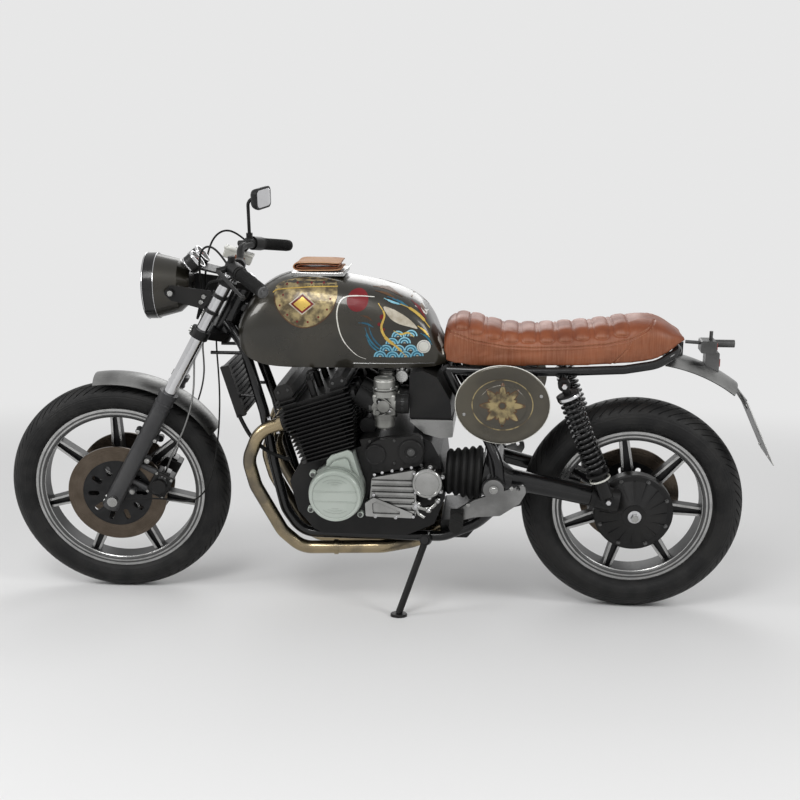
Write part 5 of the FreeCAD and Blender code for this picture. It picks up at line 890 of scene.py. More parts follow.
def addTyres():
    for node, (*sizes, body, where) in tyreSizes.items():
        rubber = frame["nodes"][node].data.materials[0]
        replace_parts(addPiece(node + "_tread", [tyreForm(*sizes)], rubber, body, where, 50), node)


addTyres()
print("tyres made")

# Seat: a padded cover over the plain cushion. The cloth is in metres, rolls and seams in millimetres.
seatLook = {"voxel": 0.005, "smoothTimes": 4, "shrink": 0.0025, "pressure": 4.0, "stiffness": 60,
            "bending": 8,
            "steps": 20, "heldFacing": -0.5, "give": 0.006, "rollHalf": 20.5, "rollCorner": 12.0,
            "rollBulge": 4.5,
            "rollSteep": 2.2, "sewnDepth": 2.4, "sewnWidth": 2.0, "rollsFrom": 790, "rollsFacing": -0.25,
            "seamDepth": 2.0, "seamWidth": 1.6, "seamFrom": 40, "seamReach": 9, "lipHeight": 0.9,
            "lipPlace": 4.5,
            "lipWidth": 2.2, "stitchGap": 6.5, "stitchBeside": 3.6, "stitchHalf": 1.9, "thread": 0.55}
seatRolls = [(-272, 858), (-314, 842), (-364, 829), (-411, 822), (-459, 823), (-510, 823), (-561, 826),
             (-606, 833),
             (-660, 837), (-713, 845)]
seatSeams = [[(-232, 853), (-309, 826), (-393, 811), (-467, 808), (-586, 813), (-676, 822), (-739, 838),
              (-782, 862), (-812, 886)],
             [(-739, 838), (-730, 812), (-706, 786), (-688, 764)]]


def distanceToLine(x, z, line):
    best = math.inf
    for (ax, az), (bx, bz) in zip(line, line[1:]):
        dx, dz = bx - ax, bz - az
        t = max(0.0, min(1.0, ((x - ax) * dx + (z - az) * dz) / (dx * dx + dz * dz)))
        best = min(best, math.hypot(x - ax - dx * t, z - az - dz * t))
    return best


def rollHeight(x, z):
    # Padding of the stuffed rolls: rises inside each and dips along its sewn edge
    look = seatLook
    half, corner = look["rollHalf"], look["rollCorner"]
    height = 0.0
    for middle, low in seatRolls:
        across, below = abs(x - middle) - (half - corner), low + corner - z
        outside = math.hypot(max(across, 0), max(below, 0)) + min(max(across, below), 0) - corner
        if outside < 0:
            fill = min(1.0, -outside / half)
            height += look["rollBulge"] * (1 - (1 - fill) ** look["rollSteep"])
        height -= look["sewnDepth"] * math.exp(-(outside / look["sewnWidth"]) ** 2)
    return height


def sewnHeight(place, normal):
    # How far the cover's rolls and seams raise it at a place
    look = seatLook
    height = 0.0
    if place.z > look["rollsFrom"] and normal.dot(upWay) > look["rollsFacing"]:
        height += rollHeight(place.x, place.z)
    gap = min(distanceToLine(place.x, place.z, line) for line in seatSeams)
    if abs(place.y) > look["seamFrom"] and gap < look["seamReach"]:
        height += look["lipHeight"] * math.exp(-((gap - look["lipPlace"]) / look["lipWidth"]) ** 2)
        height -= look["seamDepth"] * math.exp(-(gap / look["seamWidth"]) ** 2)
    return height


def applyModifiers(piece):
    # Bakes what the modifiers make into the mesh and drops them
    bpy.context.view_layer.update()
    shaped = piece.evaluated_get(bpy.context.evaluated_depsgraph_get())
    mesh = bpy.data.meshes.new_from_object(shaped)
    piece.modifiers.clear()
    piece.data = mesh


def puffUp(seat):
    # Blows the cover up as cloth and holds each point within its give
    starts = [vert.co.copy() for vert in seat.data.vertices]
    group = seat.vertex_groups.new(name="held")
    for vert in seat.data.vertices:
        if vert.normal.dot(upWay) < seatLook["heldFacing"]:
            group.add([vert.index], 1.0, "REPLACE")
    cloth = seat.modifiers.new("cloth", "CLOTH")
    cloth.settings.use_pressure = True
    cloth.settings.uniform_pressure_force = seatLook["pressure"]
    cloth.settings.vertex_group_mass = "held"
    cloth.settings.tension_stiffness = cloth.settings.compression_stiffness = seatLook["stiffness"]
    cloth.settings.bending_stiffness = seatLook["bending"]
    cloth.settings.effector_weights.gravity = 0
    cloth.point_cache.frame_start, cloth.point_cache.frame_end = 1, seatLook["steps"]
    for step in range(1, seatLook["steps"] + 1):
        bpy.context.scene.frame_set(step)
    applyModifiers(seat)
    bpy.context.scene.frame_set(1)
    for vert, start in zip(seat.data.vertices, starts):
        change = vert.co - start
        if change.length > seatLook["give"]:
            vert.co = start + change.normalized() * seatLook["give"]


def addSeat():
    plain = frame["nodes"]["seat"]
    seat = plain.copy()
    seat.data = plain.data.copy()
    seat.name = seat.data.name = "seat_cover"
    seat.parent = None
    seat.matrix_world = plain.matrix_world.copy()
    bpy.context.scene.collection.objects.link(seat)
    bpy.context.view_layer.update()
    bpy.context.view_layer.objects.active = seat
    remesh = seat.modifiers.new("remesh", "REMESH")
    remesh.mode = "VOXEL"
    remesh.voxel_size = seatLook["voxel"]
    applyModifiers(seat)
    smooth = seat.modifiers.new("smooth", "SMOOTH")
    smooth.factor = 0.5
    smooth.iterations = seatLook["smoothTimes"]
    applyModifiers(seat)
    for vert, normal in zip(seat.data.vertices, [vert.normal.copy() for vert in seat.data.vertices]):
        vert.co -= normal * seatLook["shrink"]
    puffUp(seat)
    divide = seat.modifiers.new("divide", "SUBSURF")
    divide.levels = divide.render_levels = 1
    applyModifiers(seat)
    mesh = seat.data
    back = places["upright"].inverted()
    for vert, normal in zip(mesh.vertices, [vert.normal.copy() for vert in mesh.vertices]):
        vert.co += normal * sewnHeight(back @ vert.co, normal) / 1000
    mesh.materials.clear()
    mesh.materials.append(seatFinish())
    mesh.shade_smooth()
    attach(seat, "frame")
    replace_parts(seat, "seat")
    return seat


def addStitches(seat):
    # Thread beside the seams, in short raised stitches
    look = seatLook
    skin = skinOf(seat)
    forms = []
    for line in seatSeams:
        smooth = curvePoints([(x, z, 0) for x, z in line], 14)
        travelled = 0.0
        for before, after in zip(smooth, smooth[1:]):
            travelled += (after - before).length
            if travelled < look["stitchGap"]:
                continue
            travelled = 0.0
            along = (after - before).normalized()
            beside = Vector((-along.y, along.x, 0)) * look["stitchBeside"]
            for side, middle in ((1, after - beside), (1, after + beside), (-1, after - beside),
                                 (-1, after + beside)):
                spots = [middle + along * reach for reach in (-look["stitchHalf"], 0, look["stitchHalf"])]
                ends = [castAcross(skin, spot.x, spot.y, side, 0.15) for spot in spots]
                if all(end is not None for end in ends) and (ends[2] - ends[0]).length < 8:
                    forms.append(swept(ends, roundSection(look["thread"], 6), sizes=[0.5, 1, 0.5]))
    addPiece("seat_stitches", forms, "thread", "frame")


addStitches(addSeat())
print("seat sewn")

# Paint on the tank: colours laid as thin coats, the same on both sides. Points are x and z in millimetres.
tankPaint = {
    # Look, spacing, lift off the tank and outline of each field
    "fields": [("goldLeaf", 8, 0.25, [(254, 955), (247, 925), (229, 899), (203, 877), (172, 866), (138, 872),
                                      (108, 891), (86, 917), (76, 945), (77, 972), (88, 990), (140, 996),
                                      (200, 993), (246, 980)]),
               ("creamPaint", 7, 0.3, [(-54, 922), (-76, 918), (-104, 904), (-132, 884), (-150, 862),
                                       (-128, 868), (-100, 876), (-74, 892)])],
    # Look, widths along it, lift and line of each stripe
    "stripes": [("brownPaint", [3.2], 0.4,
                 [(253, 950), (247, 924), (229, 898), (203, 876), (172, 865), (138, 871), (108, 890),
                  (86, 916), (76, 944)]),
                ("goldLine", [2.6], 0.5, [(259, 958), (244, 966), (200, 971), (140, 975), (76, 975)]),
                ("paleStripe", [2, 3, 3.5, 3.5, 3.5, 3, 2, 1.2], 0.5,
                 [(-28, 948), (10, 951), (48, 950), (66, 938), (74, 912), (73, 884), (64, 845), (48, 815),
                  (20, 786), (-5, 775)]),
                ("paleStripe", [3, 6, 7, 7, 6, 4], 0.5,
                 [(-140, 921), (-165, 903), (-190, 877), (-208, 835), (-221, 785)]),
                ("goldLine", [2, 5, 6, 7, 9, 6, 2], 0.8,
                 [(-40, 932), (-58, 902), (-50, 868), (-62, 838), (-92, 812), (-120, 782)]),
                ("goldLine", [2, 5, 5, 2], 0.8, [(-84, 858), (-104, 848), (-124, 852), (-140, 840)]),
                ("goldLine", [2, 6, 6, 2], 0.8, [(-100, 928), (-130, 914), (-160, 890), (-182, 862)])],
    "strokeWidths": [1.5, 4, 5, 4, 1.5],
    "strokeLift": 0.7,
    "strokes": [("waterBlue", [(-4, 868), (-14, 838), (-34, 812), (-60, 796)]),
                ("waterBlue", [(-14, 874), (-24, 842), (-42, 818), (-66, 804)]),
                ("waterBlue", [(-6, 846), (-20, 816), (-44, 794)]),
                ("brownPaint", [(-28, 962), (-60, 954), (-92, 938)]),
                ("brownPaint", [(-20, 972), (-62, 964), (-104, 944)]),
                ("creamPaint", [(-44, 978), (-80, 968), (-118, 946)]),
                ("waterBlue", [(-62, 948), (-98, 934), (-132, 912)]),
                ("goldLine", [(-76, 976), (-112, 960), (-146, 930)]),
                ("brownPaint", [(-112, 950), (-146, 926), (-170, 898)]),
                ("creamPaint", [(-96, 966), (-128, 948), (-158, 920)]),
                ("deepRed", [(-128, 934), (-152, 912), (-172, 884)]),
                ("goldLine", [(-140, 952), (-164, 930), (-184, 900)]),
                ("paleBlue", [(-54, 944), (-78, 934), (-104, 926)]),
                ("brownPaint", [(8, 900), (-10, 896), (-26, 884)]),
                ("waterBlue", [(14, 880), (-8, 878), (-28, 868)]),
                ("goldLine", [(-150, 870), (-168, 856), (-182, 838)]),
                ("waterBlue", [(-158, 850), (-176, 838), (-190, 816)])],
    # Look, centre, radius, sides, spacing and lift of each disc
    "discs": [("deepRed", (18, 940), 30, 28, 7, 0.3), ("milkyPlastic", (-167, 812), 19, 28, 6, 1.2),
              ("deepRed", (-52, 896), 7, 16, 6, 0.5), ("deepRed", (-44, 876), 5, 16, 6, 0.5),
              ("deepRed", (-56, 862), 4, 16, 6, 0.5)],
    "dots": [(236, 925), (214, 900), (186, 882), (156, 881), (126, 895), (102, 916), (228, 953), (94, 944),
             (150, 984), (190, 984), (220, 980), (116, 984)],
    "dotRadius": 3.0,
    "badgeRing": ((-167, 812), 15, 2, 1.6),
    "lozengeCentre": (172, 930),
    "lozenges": [(38, 30, "creamPaint"), (33, 26, "deepRed"), (25, 19.5, "goldLine")],
    "fans": [(-96, 840), (-132, 842), (-79, 820), (-114, 822), (-62, 800), (-97, 800), (-131, 800),
             (-45, 782), (-80, 781), (-115, 781), (-149, 784)],
    "fanRings": [(18, "paleBlue"), (14.5, "waterBlue"), (10.5, "paleBlue"), (7, "waterBlue"),
                 (3.5, "creamPaint")],
    "lowestFans": 790,
    "bead": {"height": 762, "from": -196, "to": 40, "step": 12, "radius": 0.9},
}


def lozengePoints(centre, wide, tall, count=7):
    corners = [(wide, 0), (0, tall), (-wide, 0), (0, -tall), (wide, 0)]
    return [(centre[0] + first[0] + (second[0] - first[0]) * step / count,
             centre[1] + first[1] + (second[1] - first[1]) * step / count)
            for first, second in zip(corners, corners[1:]) for step in range(count)]


def paintTank():
    paints = tankPaint
    skin = skinOf(frame["nodes"]["fuel_tank"])
    coats = {}

    def coat(look, form):
        coats.setdefault(look, []).append(form)

    for side in (1, -1):
        for look, spacing, lift, outline in paints["fields"]:
            coat(look, patchForm(loopPoints(outline, 3), skin, side, spacing, lift))
        for look, widths, lift, line in paints["stripes"]:
            coat(look, stripeForm(line, widths, skin, side, lift))
        for look, line in paints["strokes"]:
            coat(look, stripeForm(line, paints["strokeWidths"], skin, side, paints["strokeLift"]))
        for look, centre, radius, sides, spacing, lift in paints["discs"]:
            coat(look, patchForm(arcPoints(centre, radius, count=sides), skin, side, spacing, lift))
        for dot in paints["dots"]:
            coat("deepRed", patchForm(arcPoints(dot, paints["dotRadius"], count=10), skin, side, 8, 0.5))
        for index, (wide, tall, look) in enumerate(paints["lozenges"]):
            outline = lozengePoints(paints["lozengeCentre"], wide, tall)
            coat(look, patchForm(outline, skin, side, 5, 0.5 + 0.3 * index))
        for fan in paints["fans"]:
            for index, (radius, look) in enumerate(paints["fanRings"]):
                arch = arcPoints(fan, radius, count=12, turn=math.pi, extra=1)
                lift = 0.3 + 0.08 * index + 0.04 * (fan[1] < paints["lowestFans"])
                coat(look, patchForm(arch, skin, side, 6, lift))
        centre, radius, width, lift = paints["badgeRing"]
        ring = arcPoints(centre, radius, extra=1)
        coat("brightSteel", stripeForm(ring, [width], skin, side, lift, 1))
    for look, forms in coats.items():
        addPiece("tank_" + look, forms, look, "frame", crease=60)
    # Bright bead along the seam under the tank
    bead = paints["bead"]
    for side, name in ((1, "left"), (-1, "right")):
        line = [castAcross(skin, x, bead["height"], side, 0.2)
                for x in range(bead["from"], bead["to"], bead["step"])]
        form = swept([point for point in line if point is not None], roundSection(bead["radius"], 6))
        addPiece("tank_bead_" + name, [form], "brushedAluminium", "frame")


paintTank()
print("tank painted")

# Tool case: one leather folded round on the tray, with a second leaf inside
caseLook = {"halfWidth": 57.0, "thick": 3.6, "innerHalfWidth": 54.0, "innerThick": 2.4, "corner": 9.0,
            "columns": 12,
            "outer": [(74, 1016.0), (100, 1013.5), (150, 1012.6), (190, 1012.9), (203, 1015.5),
                      (208.5, 1022.5), (204, 1030.0), (192, 1033.6), (150, 1034.8), (110, 1035.2),
                      (76, 1033.2)],
            "inner": [(80, 1026.6), (110, 1028.6), (150, 1029.0), (186, 1028.2), (198, 1025.4), (200, 1021.6),
                      (190, 1018.8), (150, 1018.6), (112, 1019.4), (84, 1020.4)]}
trayLook = {"lip": [(68, 1006.5), (64, 1008.0), (59, 1013.0), (56, 1018.0)], "halfWidth": 60, "thick": 2.2,
            "edge": [(66, 1006.8), (100, 1005.8), (170, 1005.8), (212, 1006.8)], "edgeSide": 61}


def leafForm(line, halfWidth, thick, wave):
    # A leaf across the machine, bent along its line, with rounded corners and a slight wave
    smooth = curvePoints([(x, 0, z) for x, z in line], 5)
    columns, corner = caseLook["columns"], caseLook["corner"]
    travelled = [0.0]
    for before, after in zip(smooth, smooth[1:]):
        travelled.append(travelled[-1] + (after - before).length)
    verts, faces = [], []
    for level in (0.5, -0.5):
        for index, point in enumerate(smooth):
            along = (smooth[min(index + 1, len(smooth) - 1)] - smooth[max(index - 1, 0)]).normalized()
            normal = Vector((along.z, 0, -along.x))
            ends = min(travelled[index], travelled[-1] - travelled[index])
            narrow = corner - math.sqrt(max(0.0, corner ** 2 - max(0.0, corner - ends) ** 2))
            for column in range(columns + 1):
                across = -1 + 2 * column / columns
                ripple = wave * math.sin(3.1 * across + travelled[index] / 31) * (1 - 0.3 * across)
                rounding = 1 - 0.35 * max(0.0, abs(across) - 0.92) / 0.08
                place = point + normal * (level * thick * rounding + ripple)
                verts.append(Vector((place.x, across * (halfWidth - narrow), place.z)))
    row = columns + 1
    total, last = len(smooth) * row, len(smooth) - 1
    for index in range(last):
        for low in range(index * row, index * row + columns):
            faces.append((low, low + 1, low + row + 1, low + row))
            faces.append((total + low, total + low + row, total + low + row + 1, total + low + 1))
        for low in (index * row, index * row + columns):
            faces.append((low, low + row, total + low + row, total + low))
    for start in (0, last * row):
        for low in range(start, start + columns):
            faces.append((low, low + 1, total + low + 1, total + low))
    return (verts, faces), travelled[-1]


def addCase():
    outer, outerLength = leafForm(caseLook["outer"], caseLook["halfWidth"], caseLook["thick"], 0.7)
    inner, innerLength = leafForm(caseLook["inner"], caseLook["innerHalfWidth"], caseLook["innerThick"], 0.5)
    case = addPiece("leather_case", [outer], "leatherEdge", "frame", crease=50)
    lining = addPiece("leather_lining", [inner], "saddleLeather", "frame", crease=50)
    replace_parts(case, "leather_roll")
    print("case leaves", round(outerLength), round(innerLength), "mm long")
    # Turned-up rear end of the tray and its rolled edges
    tray = leafForm(trayLook["lip"], trayLook["halfWidth"], trayLook["thick"], 0.0)[0]
    edges = [wire([(x, side * trayLook["edgeSide"], z) for x, z in trayLook["edge"]], 2.2, 8)
             for side in (1, -1)]
    addPiece("tray_edge", [tray, *edges], "brightSteel", "frame")


addCase()

# Lamp, gauges, bars and forks, all turning with the steering
leftFace, rightFace = (0, 1, 0), (0, -1, 0)
faceOf = {1: leftFace, -1: rightFace}
lampLook = {"centre": (630, 0, 960),
            "bowl": [(84, 6), (82, 0), (74, -22), (60, -42), (40, -56), (18, -62), (0, -63)],
            "bowlThick": (1.5, 2),
            "bulb": [(0, -62), (11, -61), (12, -44), (8, -40), (8, -22), (6, -14), (0, -11)],
            "rings": [(13.2, 96.2, 1.3), (-17.2, 95.2, 1.0)], "bolt": (561.3, 108.6, 960),
            "earBolts": [(37.5, 686), (37.5, 668)], "earSide": 100.5}


def hoopForm(points, radius, normal):
    return swept(points, roundSection(radius, 8), normal, closed=True)


def addLamp():
    look = lampLook
    lamp = Matrix.Translation(look["centre"]) @ Matrix.Rotation(math.pi / 2, 4, "Y")
    wall, floor = look["bowlThick"]
    back = [(radius - wall if radius > wall else 0, height - floor)
            for radius, height in reversed(look["bowl"])]
    addPiece("lamp_reflector", [moved(spun(look["bowl"] + back, 56), lamp)], "chrome", "steering", "steered")
    addPiece("lamp_bulb", [moved(spun(look["bulb"], 24), lamp)], "milkyPlastic", "steering", "steered")
    rings = []
    for x, radius, thick in look["rings"]:
        circle = [(x, y, z) for y, z in arcPoints((0, 0), radius, count=72)]
        rings.append(at(hoopForm(circle, thick, (1, 0, 0)), look["centre"]))
    addPiece("lamp_rings", rings, "chrome", "steering", "steered")
    x, y, z = look["bolt"]
    addBolts("lamp_bolts", [((x, side * y, z), faceOf[side], 8.5, 5, "dome") for side in (1, -1)],
             "brightSteel", "steering", "steered")
    addBolts("ear_bolts",
             [((x, side * look["earSide"], z), faceOf[side], 6.5, 7, "socket") for side in (1, -1)
                           for x, z in look["earBolts"]], "brightSteel", "steering", "fork")


gaugeLook = {"centre": (489, 40, 1045), "normal": (-0.788, 0, 0.616), "bezel": (24.5, 29.2, -5, 2.6, 0.9),
             "backRing": (26.5, 28.6, -32, -29, 0.6), "face": [(24.6, 0.4), (24.6, 0.9)], "marks": 21,
             "zeroAt": -225, "markTurn": 13.5, "markLengths": (4.2, 2.4), "markOuter": 21.5,
             "needle": (17, 1.4, 0.7, 0.2), "needleMiddle": 7.5,
             "hub": [(0, 0.9), (2.6, 0.9), (2.2, 2.6), (0, 2.8)]}


def addGauges():
    look = gaugeLook
    faces, rings, marks, needles = [], [], [], []

    def turned(form, degrees, out, lift):
        turn = Matrix.Rotation(math.radians(degrees), 4, "Z")
        return moved(form, place @ turn @ Matrix.Translation((out, 0, lift)))

    for side in (1, -1):
        x, y, z = look["centre"]
        place = aimed((x, side * y, z), look["normal"])
        rings += [moved(ringForm(*look["bezel"]), place), moved(ringForm(*look["backRing"]), place)]
        faces.append(moved(knobForm(look["face"], 40), place))
        for step in range(look["marks"]):
            long = look["markLengths"][step % 2]
            marks.append(turned(blockForm(long, 0.8, 0.3, 0.1), look["zeroAt"] + look["markTurn"] * step,
                                look["markOuter"] - long / 2, 1.1))
        needles.append(turned(blockForm(*look["needle"]), look["zeroAt"], look["needleMiddle"], 1.7))
        needles.append(moved(spun(look["hub"], 16), place))
    for name, forms, finishName in (("rings", rings, "chrome"), ("faces", faces, "blackPlastic"),
                                    ("marks", marks, "paleStripe"), ("needles", needles, "redGloss")):
        addPiece("gauge_" + name, forms, finishName, "steering", "steered")


barLook = {"gripStart": (343.4, 224.6, 1039.7), "gripEnd": (268, 335, 1013), "ribs": 22, "ribsFrom": 0.12,
           "ribsOver": 0.80, "rib": (16.2, 18.1, -1.1, 1.1, 0.5, 26),
           "cap": [(0, 0), (16.5, 0), (16.5, 1.5), (14.5, 3.2), (12.5, 3.2), (12, 1.6), (7.5, 1.4),
                   (6.5, 3.0), (0, 3.0)]}
mirrorLook = {"place": (324, -204, 1182), "turn": -19, "half": (44, 26), "square": 1.25, "corners": 48}
reservoirLook = {"place": (406, -171.5, 1012), "tilt": -20, "lid": (92, 44, 7, 2.5), "screws": (38, 14),
                 "window": (30, 1.6, 13, 0.6)}


def addBars():
    look = barLook
    ribs, ends = [], []
    for side in (1, -1):
        start, end = (Vector((x, side * y, z)) for x, y, z in (look["gripStart"], look["gripEnd"]))
        along = (end - start).normalized()
        for step in range(look["ribs"]):
            share = look["ribsFrom"] + look["ribsOver"] * step / (look["ribs"] - 1)
            ribs.append(at(ringForm(*look["rib"]), start + (end - start) * share, along))
        ends.append(at(spun(look["cap"], 32), end - along * 0.5, along))
    addPiece("grip_ribs", ribs, "rubber", "steering", "steered")
    addPiece("grip_ends", ends, "darkSteel", "steering", "steered")
    addBolts("fork_cap_bolts", [((0, y, 777), (0, 0, 1), 4.5, 4, "socket") for y in (97, -97)],
             "brightSteel", "steering", "fork")
    addBolts("stem_bolt", [((-52, 0, 777), (0, 0, 1), 12, 7, "hex")], "chrome", "steering", "fork")
    clamps = [((26, side * y, 583), (1, 0, 0), 5.2, 6, "socket") for side in (1, -1) for y in (110, 84)]
    addBolts("yoke_clamp_bolts", clamps, "brightSteel", "steering", "fork")


def addMirrorAndReservoir():
    # Glass of the mirror, then the lid, screws and window of the reservoir
    look = mirrorLook
    count = look["corners"]
    mirror = Matrix.Translation(look["place"]) @ Matrix.Rotation(math.radians(look["turn"]), 4, "Z")
    glass = [[half * max(-1, min(1, look["square"] * share)) for half, share in zip(look["half"], point)]
             for point in arcPoints((0, 0), 1, count=count)]
    verts = [mirror @ Vector((-0.6, y, z)) for y, z in glass]
    verts += [mirror @ Vector((-1.6, y * 0.97, z * 0.95)) for y, z in glass]
    faces = [(step, (step + 1) % count, count + (step + 1) % count, count + step) for step in range(count)]
    addPiece("mirror_glass", [(verts, faces + [tuple(range(count, 2 * count))])], "chrome", "steering",
             "steered")
    look = reservoirLook
    tilt = Matrix.Translation(look["place"]) @ Matrix.Rotation(math.radians(look["tilt"]), 4, "Y")
    x, y = look["screws"]
    screws = [at(boltForm(3, 1.5, "dome"), (wayX * x, wayY * y, 19.5)) for wayX in (-1, 1)
              for wayY in (-1, 1)]
    for name, forms, finishName in (("lid", [at(blockForm(*look["lid"]), (0, 0, 16))], "milkyPlastic"),
                                    ("screws", screws, "brightSteel"),
                                    ("window", [at(blockForm(*look["window"]), (-8, 20.4, 0))],
                                     "saddleLeather")):
        addPiece("reservoir_" + name, [moved(form, tilt) for form in forms], finishName, "steering",
                 "steered")


forkLook = {"side": 97, "lugs": [(28, 228, 8.5), (-27, 226, 8.5), (-34, 156.5, 9.5), (-37, 45, 9.5)],
            "lugFrom": 84, "axleBolts": (-24, -8), "seals": [(27.4, 5, 1.2, 340), (26.4, 3, 1.0, 322)],
            "axleNut": 123, "caliper": -100, "pistons": (78, 114),
            "pistonCap": [(15.5, -2), (15.5, 2.5), (13.5, 4.4), (6, 4.4), (5, 3.2)],
            "caliperBolts": [(-124, 64), (-76, 64), (-124, 128), (-76, 128)]}


def addForks():
    look = forkLook
    lugs, rows, caps, heads = [], [], [], []
    for side in (1, -1):
        for x, z, radius in look["lugs"]:
            knob = knobForm([(radius + 1.5, 0), (radius, 4), (radius, 21), (radius - 1, 22.5)])
            lugs.append(at(knob, (x, side * look["lugFrom"], z), faceOf[side]))
            lugs.append(at(blockForm(abs(x) - 8, 12, radius * 1.5, 2), (x * 0.6, side * 95, z)))
            rows.append(((x, side * 106.5, z), faceOf[side], 5.6, 5, "hex" if radius > 9 else "socket"))
        rows += [((22, side * look["side"], z), (1, 0, 0), 4.4, 5, "socket") for z in look["axleBolts"]]
        lugs += [at(ringForm(24.6, outer, 0, height, edge, 40), (0, side * look["side"], z))
                 for outer, height, edge, z in look["seals"]]
        # Caliper halves: the piston housings, the pad cover and bolt heads
        caps += [at(knobForm(look["pistonCap"], 28), (look["caliper"], side * 91, z), faceOf[side])
                 for z in look["pistons"]]
        caps.append(at(blockForm(26, 44, 6, 2), (look["caliper"], side * 63, 135.5)))
        heads += [((x, side * 91, z), faceOf[side], 4.2, 4.5, "socket") for x, z in look["caliperBolts"]]
    addPiece("fork_lugs", lugs, "sliderGrey", "steering", "fork")
    addBolts("fork_bolts", rows, "brightSteel", "steering", "fork")
    addBolts("front_axle_nut", [((0, look["axleNut"], 0), leftFace, 11, 9, "hex")], "brightSteel", "steering",
             "fork")
    addPiece("caliper_caps", caps, "blackGloss", "steering", "fork")
    addBolts("caliper_bolts", heads, "brightSteel", "steering", "fork")


addLamp()
addGauges()
addBars()
addMirrorAndReservoir()
addForks()
print("steering dressed")

# Engine
generatorLook = {"centre": (72, 255, 407), "ring": (64, 72.5, -1, 2.2, 1.0, 72), "barGap": 15, "barReach": 61,
                 "arcs": [(50, 42), (40, 30), (30, 18)], "arcFlat": 0.72, "arcLift": 14,
                 "lugs": [(138, 462), (4, 346), (146, 356)], "lug": [(10, 0), (9, 14), (8, 15)]}


def addGenerator():
    look = generatorLook
    place = aimed(look["centre"], leftFace) @ Matrix.Rotation(math.radians(-3), 4, "Z")
    forms = [moved(ringForm(*look["ring"]), place)]
    for height in (look["barGap"], -look["barGap"]):
        half = math.sqrt(look["barReach"] ** 2 - height ** 2)
        line = [(x, 0.6, height) for x in (-half, -half / 2, 0, half / 2, half)]
        forms.append(at(swept(line, bandSection(2.2, 1.6), leftFace), look["centre"]))
    for way in (1, -1):
        for radius, spread in look["arcs"]:
            line = []
            for step in range(13):
                angle = math.radians(90 - spread + 2 * spread * step / 12)
                height = radius * math.sin(angle) * look["arcFlat"] + look["arcLift"]
                line.append((radius * math.cos(angle), 0.5, way * height))
            forms.append(at(swept(line, bandSection(1.4, 1.2), leftFace), look["centre"]))
    addPiece("generator_trim", forms, "paleSilver", "frame")
    lugs = [at(knobForm(look["lug"]), (x, 214, z), leftFace) for x, z in look["lugs"]]
    addPiece("generator_lugs", lugs, "paleSilver", "frame")
    addBolts("generator_bolts", [((x, 229, z), leftFace, 5, 5, "socket") for x, z in look["lugs"]],
             "darkSteel")


coverLook = {"upperBolts": [(-36, 462), (-58, 469), (-86, 475), (-113, 481), (-140, 486)],
             "lowerBolts": [(-34, 404), (-38, 340), (-96, 338), (-146, 342)],
             "hub": (-185, 443), "hubBolts": (35, 100, 158, 215, 262, 318), "hubReach": 45.5,
             "lug": [(7.5, 0), (6.8, 20), (6, 21)], "hubRing": (34, 41, -1, 1.6, 0.8, 56),
             "linkKnobs": [([(15, 0), (15, 9), (12, 12)], 28, (-152, 206, 372)),
                           ([(9, 0), (9, 18), (7, 20)], 24, (-188, 200, 362)),
                           ([(8, 0), (8, 18), (6, 20)], 24, (-214, 200, 390))],
             "linkRods": [([(-152, 213, 372), (-170, 215, 366), (-188, 214, 362)], 6),
                          ([(-188, 212, 362), (-204, 213, 374), (-214, 212, 390)], 5),
                          ([(-152, 212, 372), (-160, 213, 350), (-176, 212, 338)], 5)],
             "linkBolts": [((-152, 217, 372), 6, 5), ((-188, 219, 362), 4.5, 4), ((-214, 219, 390), 4.5, 4)],
             "starterBolts": [(-20, 552), (-90, 556), (-166, 486), (-90, 490)],
             "starterRings": [((24, 29, -1, 1.6, 0.7, 48), (-36, 195, 513)),
                              ((17, 34.5, -1, 2.0, 1.0, 48), (-137, 195, 524))]}


def addCovers():
    # Gear cover, the lever linkage behind it, and the starter cover with its two lobes
    look = coverLook
    rows = [((x, 214, z), leftFace, 4.4, 4, "socket") for x, z in look["upperBolts"]]
    rows += [((x, 221, z), leftFace, 4.4, 4, "socket") for x, z in look["lowerBolts"]]
    lugs = []
    for degrees in look["hubBolts"]:
        x, z = (middle + look["hubReach"] * way(math.radians(degrees))
                for middle, way in zip(look["hub"], (math.cos, math.sin)))
        lugs.append(at(knobForm(look["lug"], 20), (x, 196, z), leftFace))
        rows.append(((x, 217, z), leftFace, 3.8, 3.5, "socket"))
    lugs.append(at(ringForm(*look["hubRing"]), (look["hub"][0], 229, look["hub"][1]), leftFace))
    addPiece("gear_cover_lugs", lugs, "polishedCasting", "frame")
    addBolts("gear_cover_bolts", rows, "chrome")
    forms = [at(knobForm(profile, steps), place, leftFace) for profile, steps, place in look["linkKnobs"]]
    forms += [wire(points, radius, 12) for points, radius in look["linkRods"]]
    addPiece("gear_linkage", forms, "polishedCasting", "frame")
    addBolts("linkage_bolts", [(place, leftFace, radius, height, "hex")
                               for place, radius, height in look["linkBolts"]], "chrome")
    rows = [((-137, 195, 524), leftFace, 8, 5, "hex")]
    rows += [((x, 191, z), leftFace, 4, 3.5, "socket") for x, z in look["starterBolts"]]
    addBolts("starter_cover_bolts", rows, "darkSteel")
    rings = [at(ringForm(*sizes), place, leftFace) for sizes, place in look["starterRings"]]
    addPiece("starter_cover_rings", rings, "blackSatin", "frame")


cylinders = (53.5, -53.5, 160.5, -160.5)
headLook = {"plugCap": [(7, -6), (7.5, -2), (6, 0), (6, 10), (7, 12), (6.5, 18), (4.5, 21)],
            "plug": (-12, 224), "plugAim": (-0.1, 0, 1), "portNuts": [(126, 104, -17), (126, 156, 17)],
            "sideBolts": [(48, 222), (76, 222), (-108, 203), (-80, 203)], "side": 190.5,
            "rod": [(-66, 20), (-66, 60), (-67, 110)], "rodSide": 150}


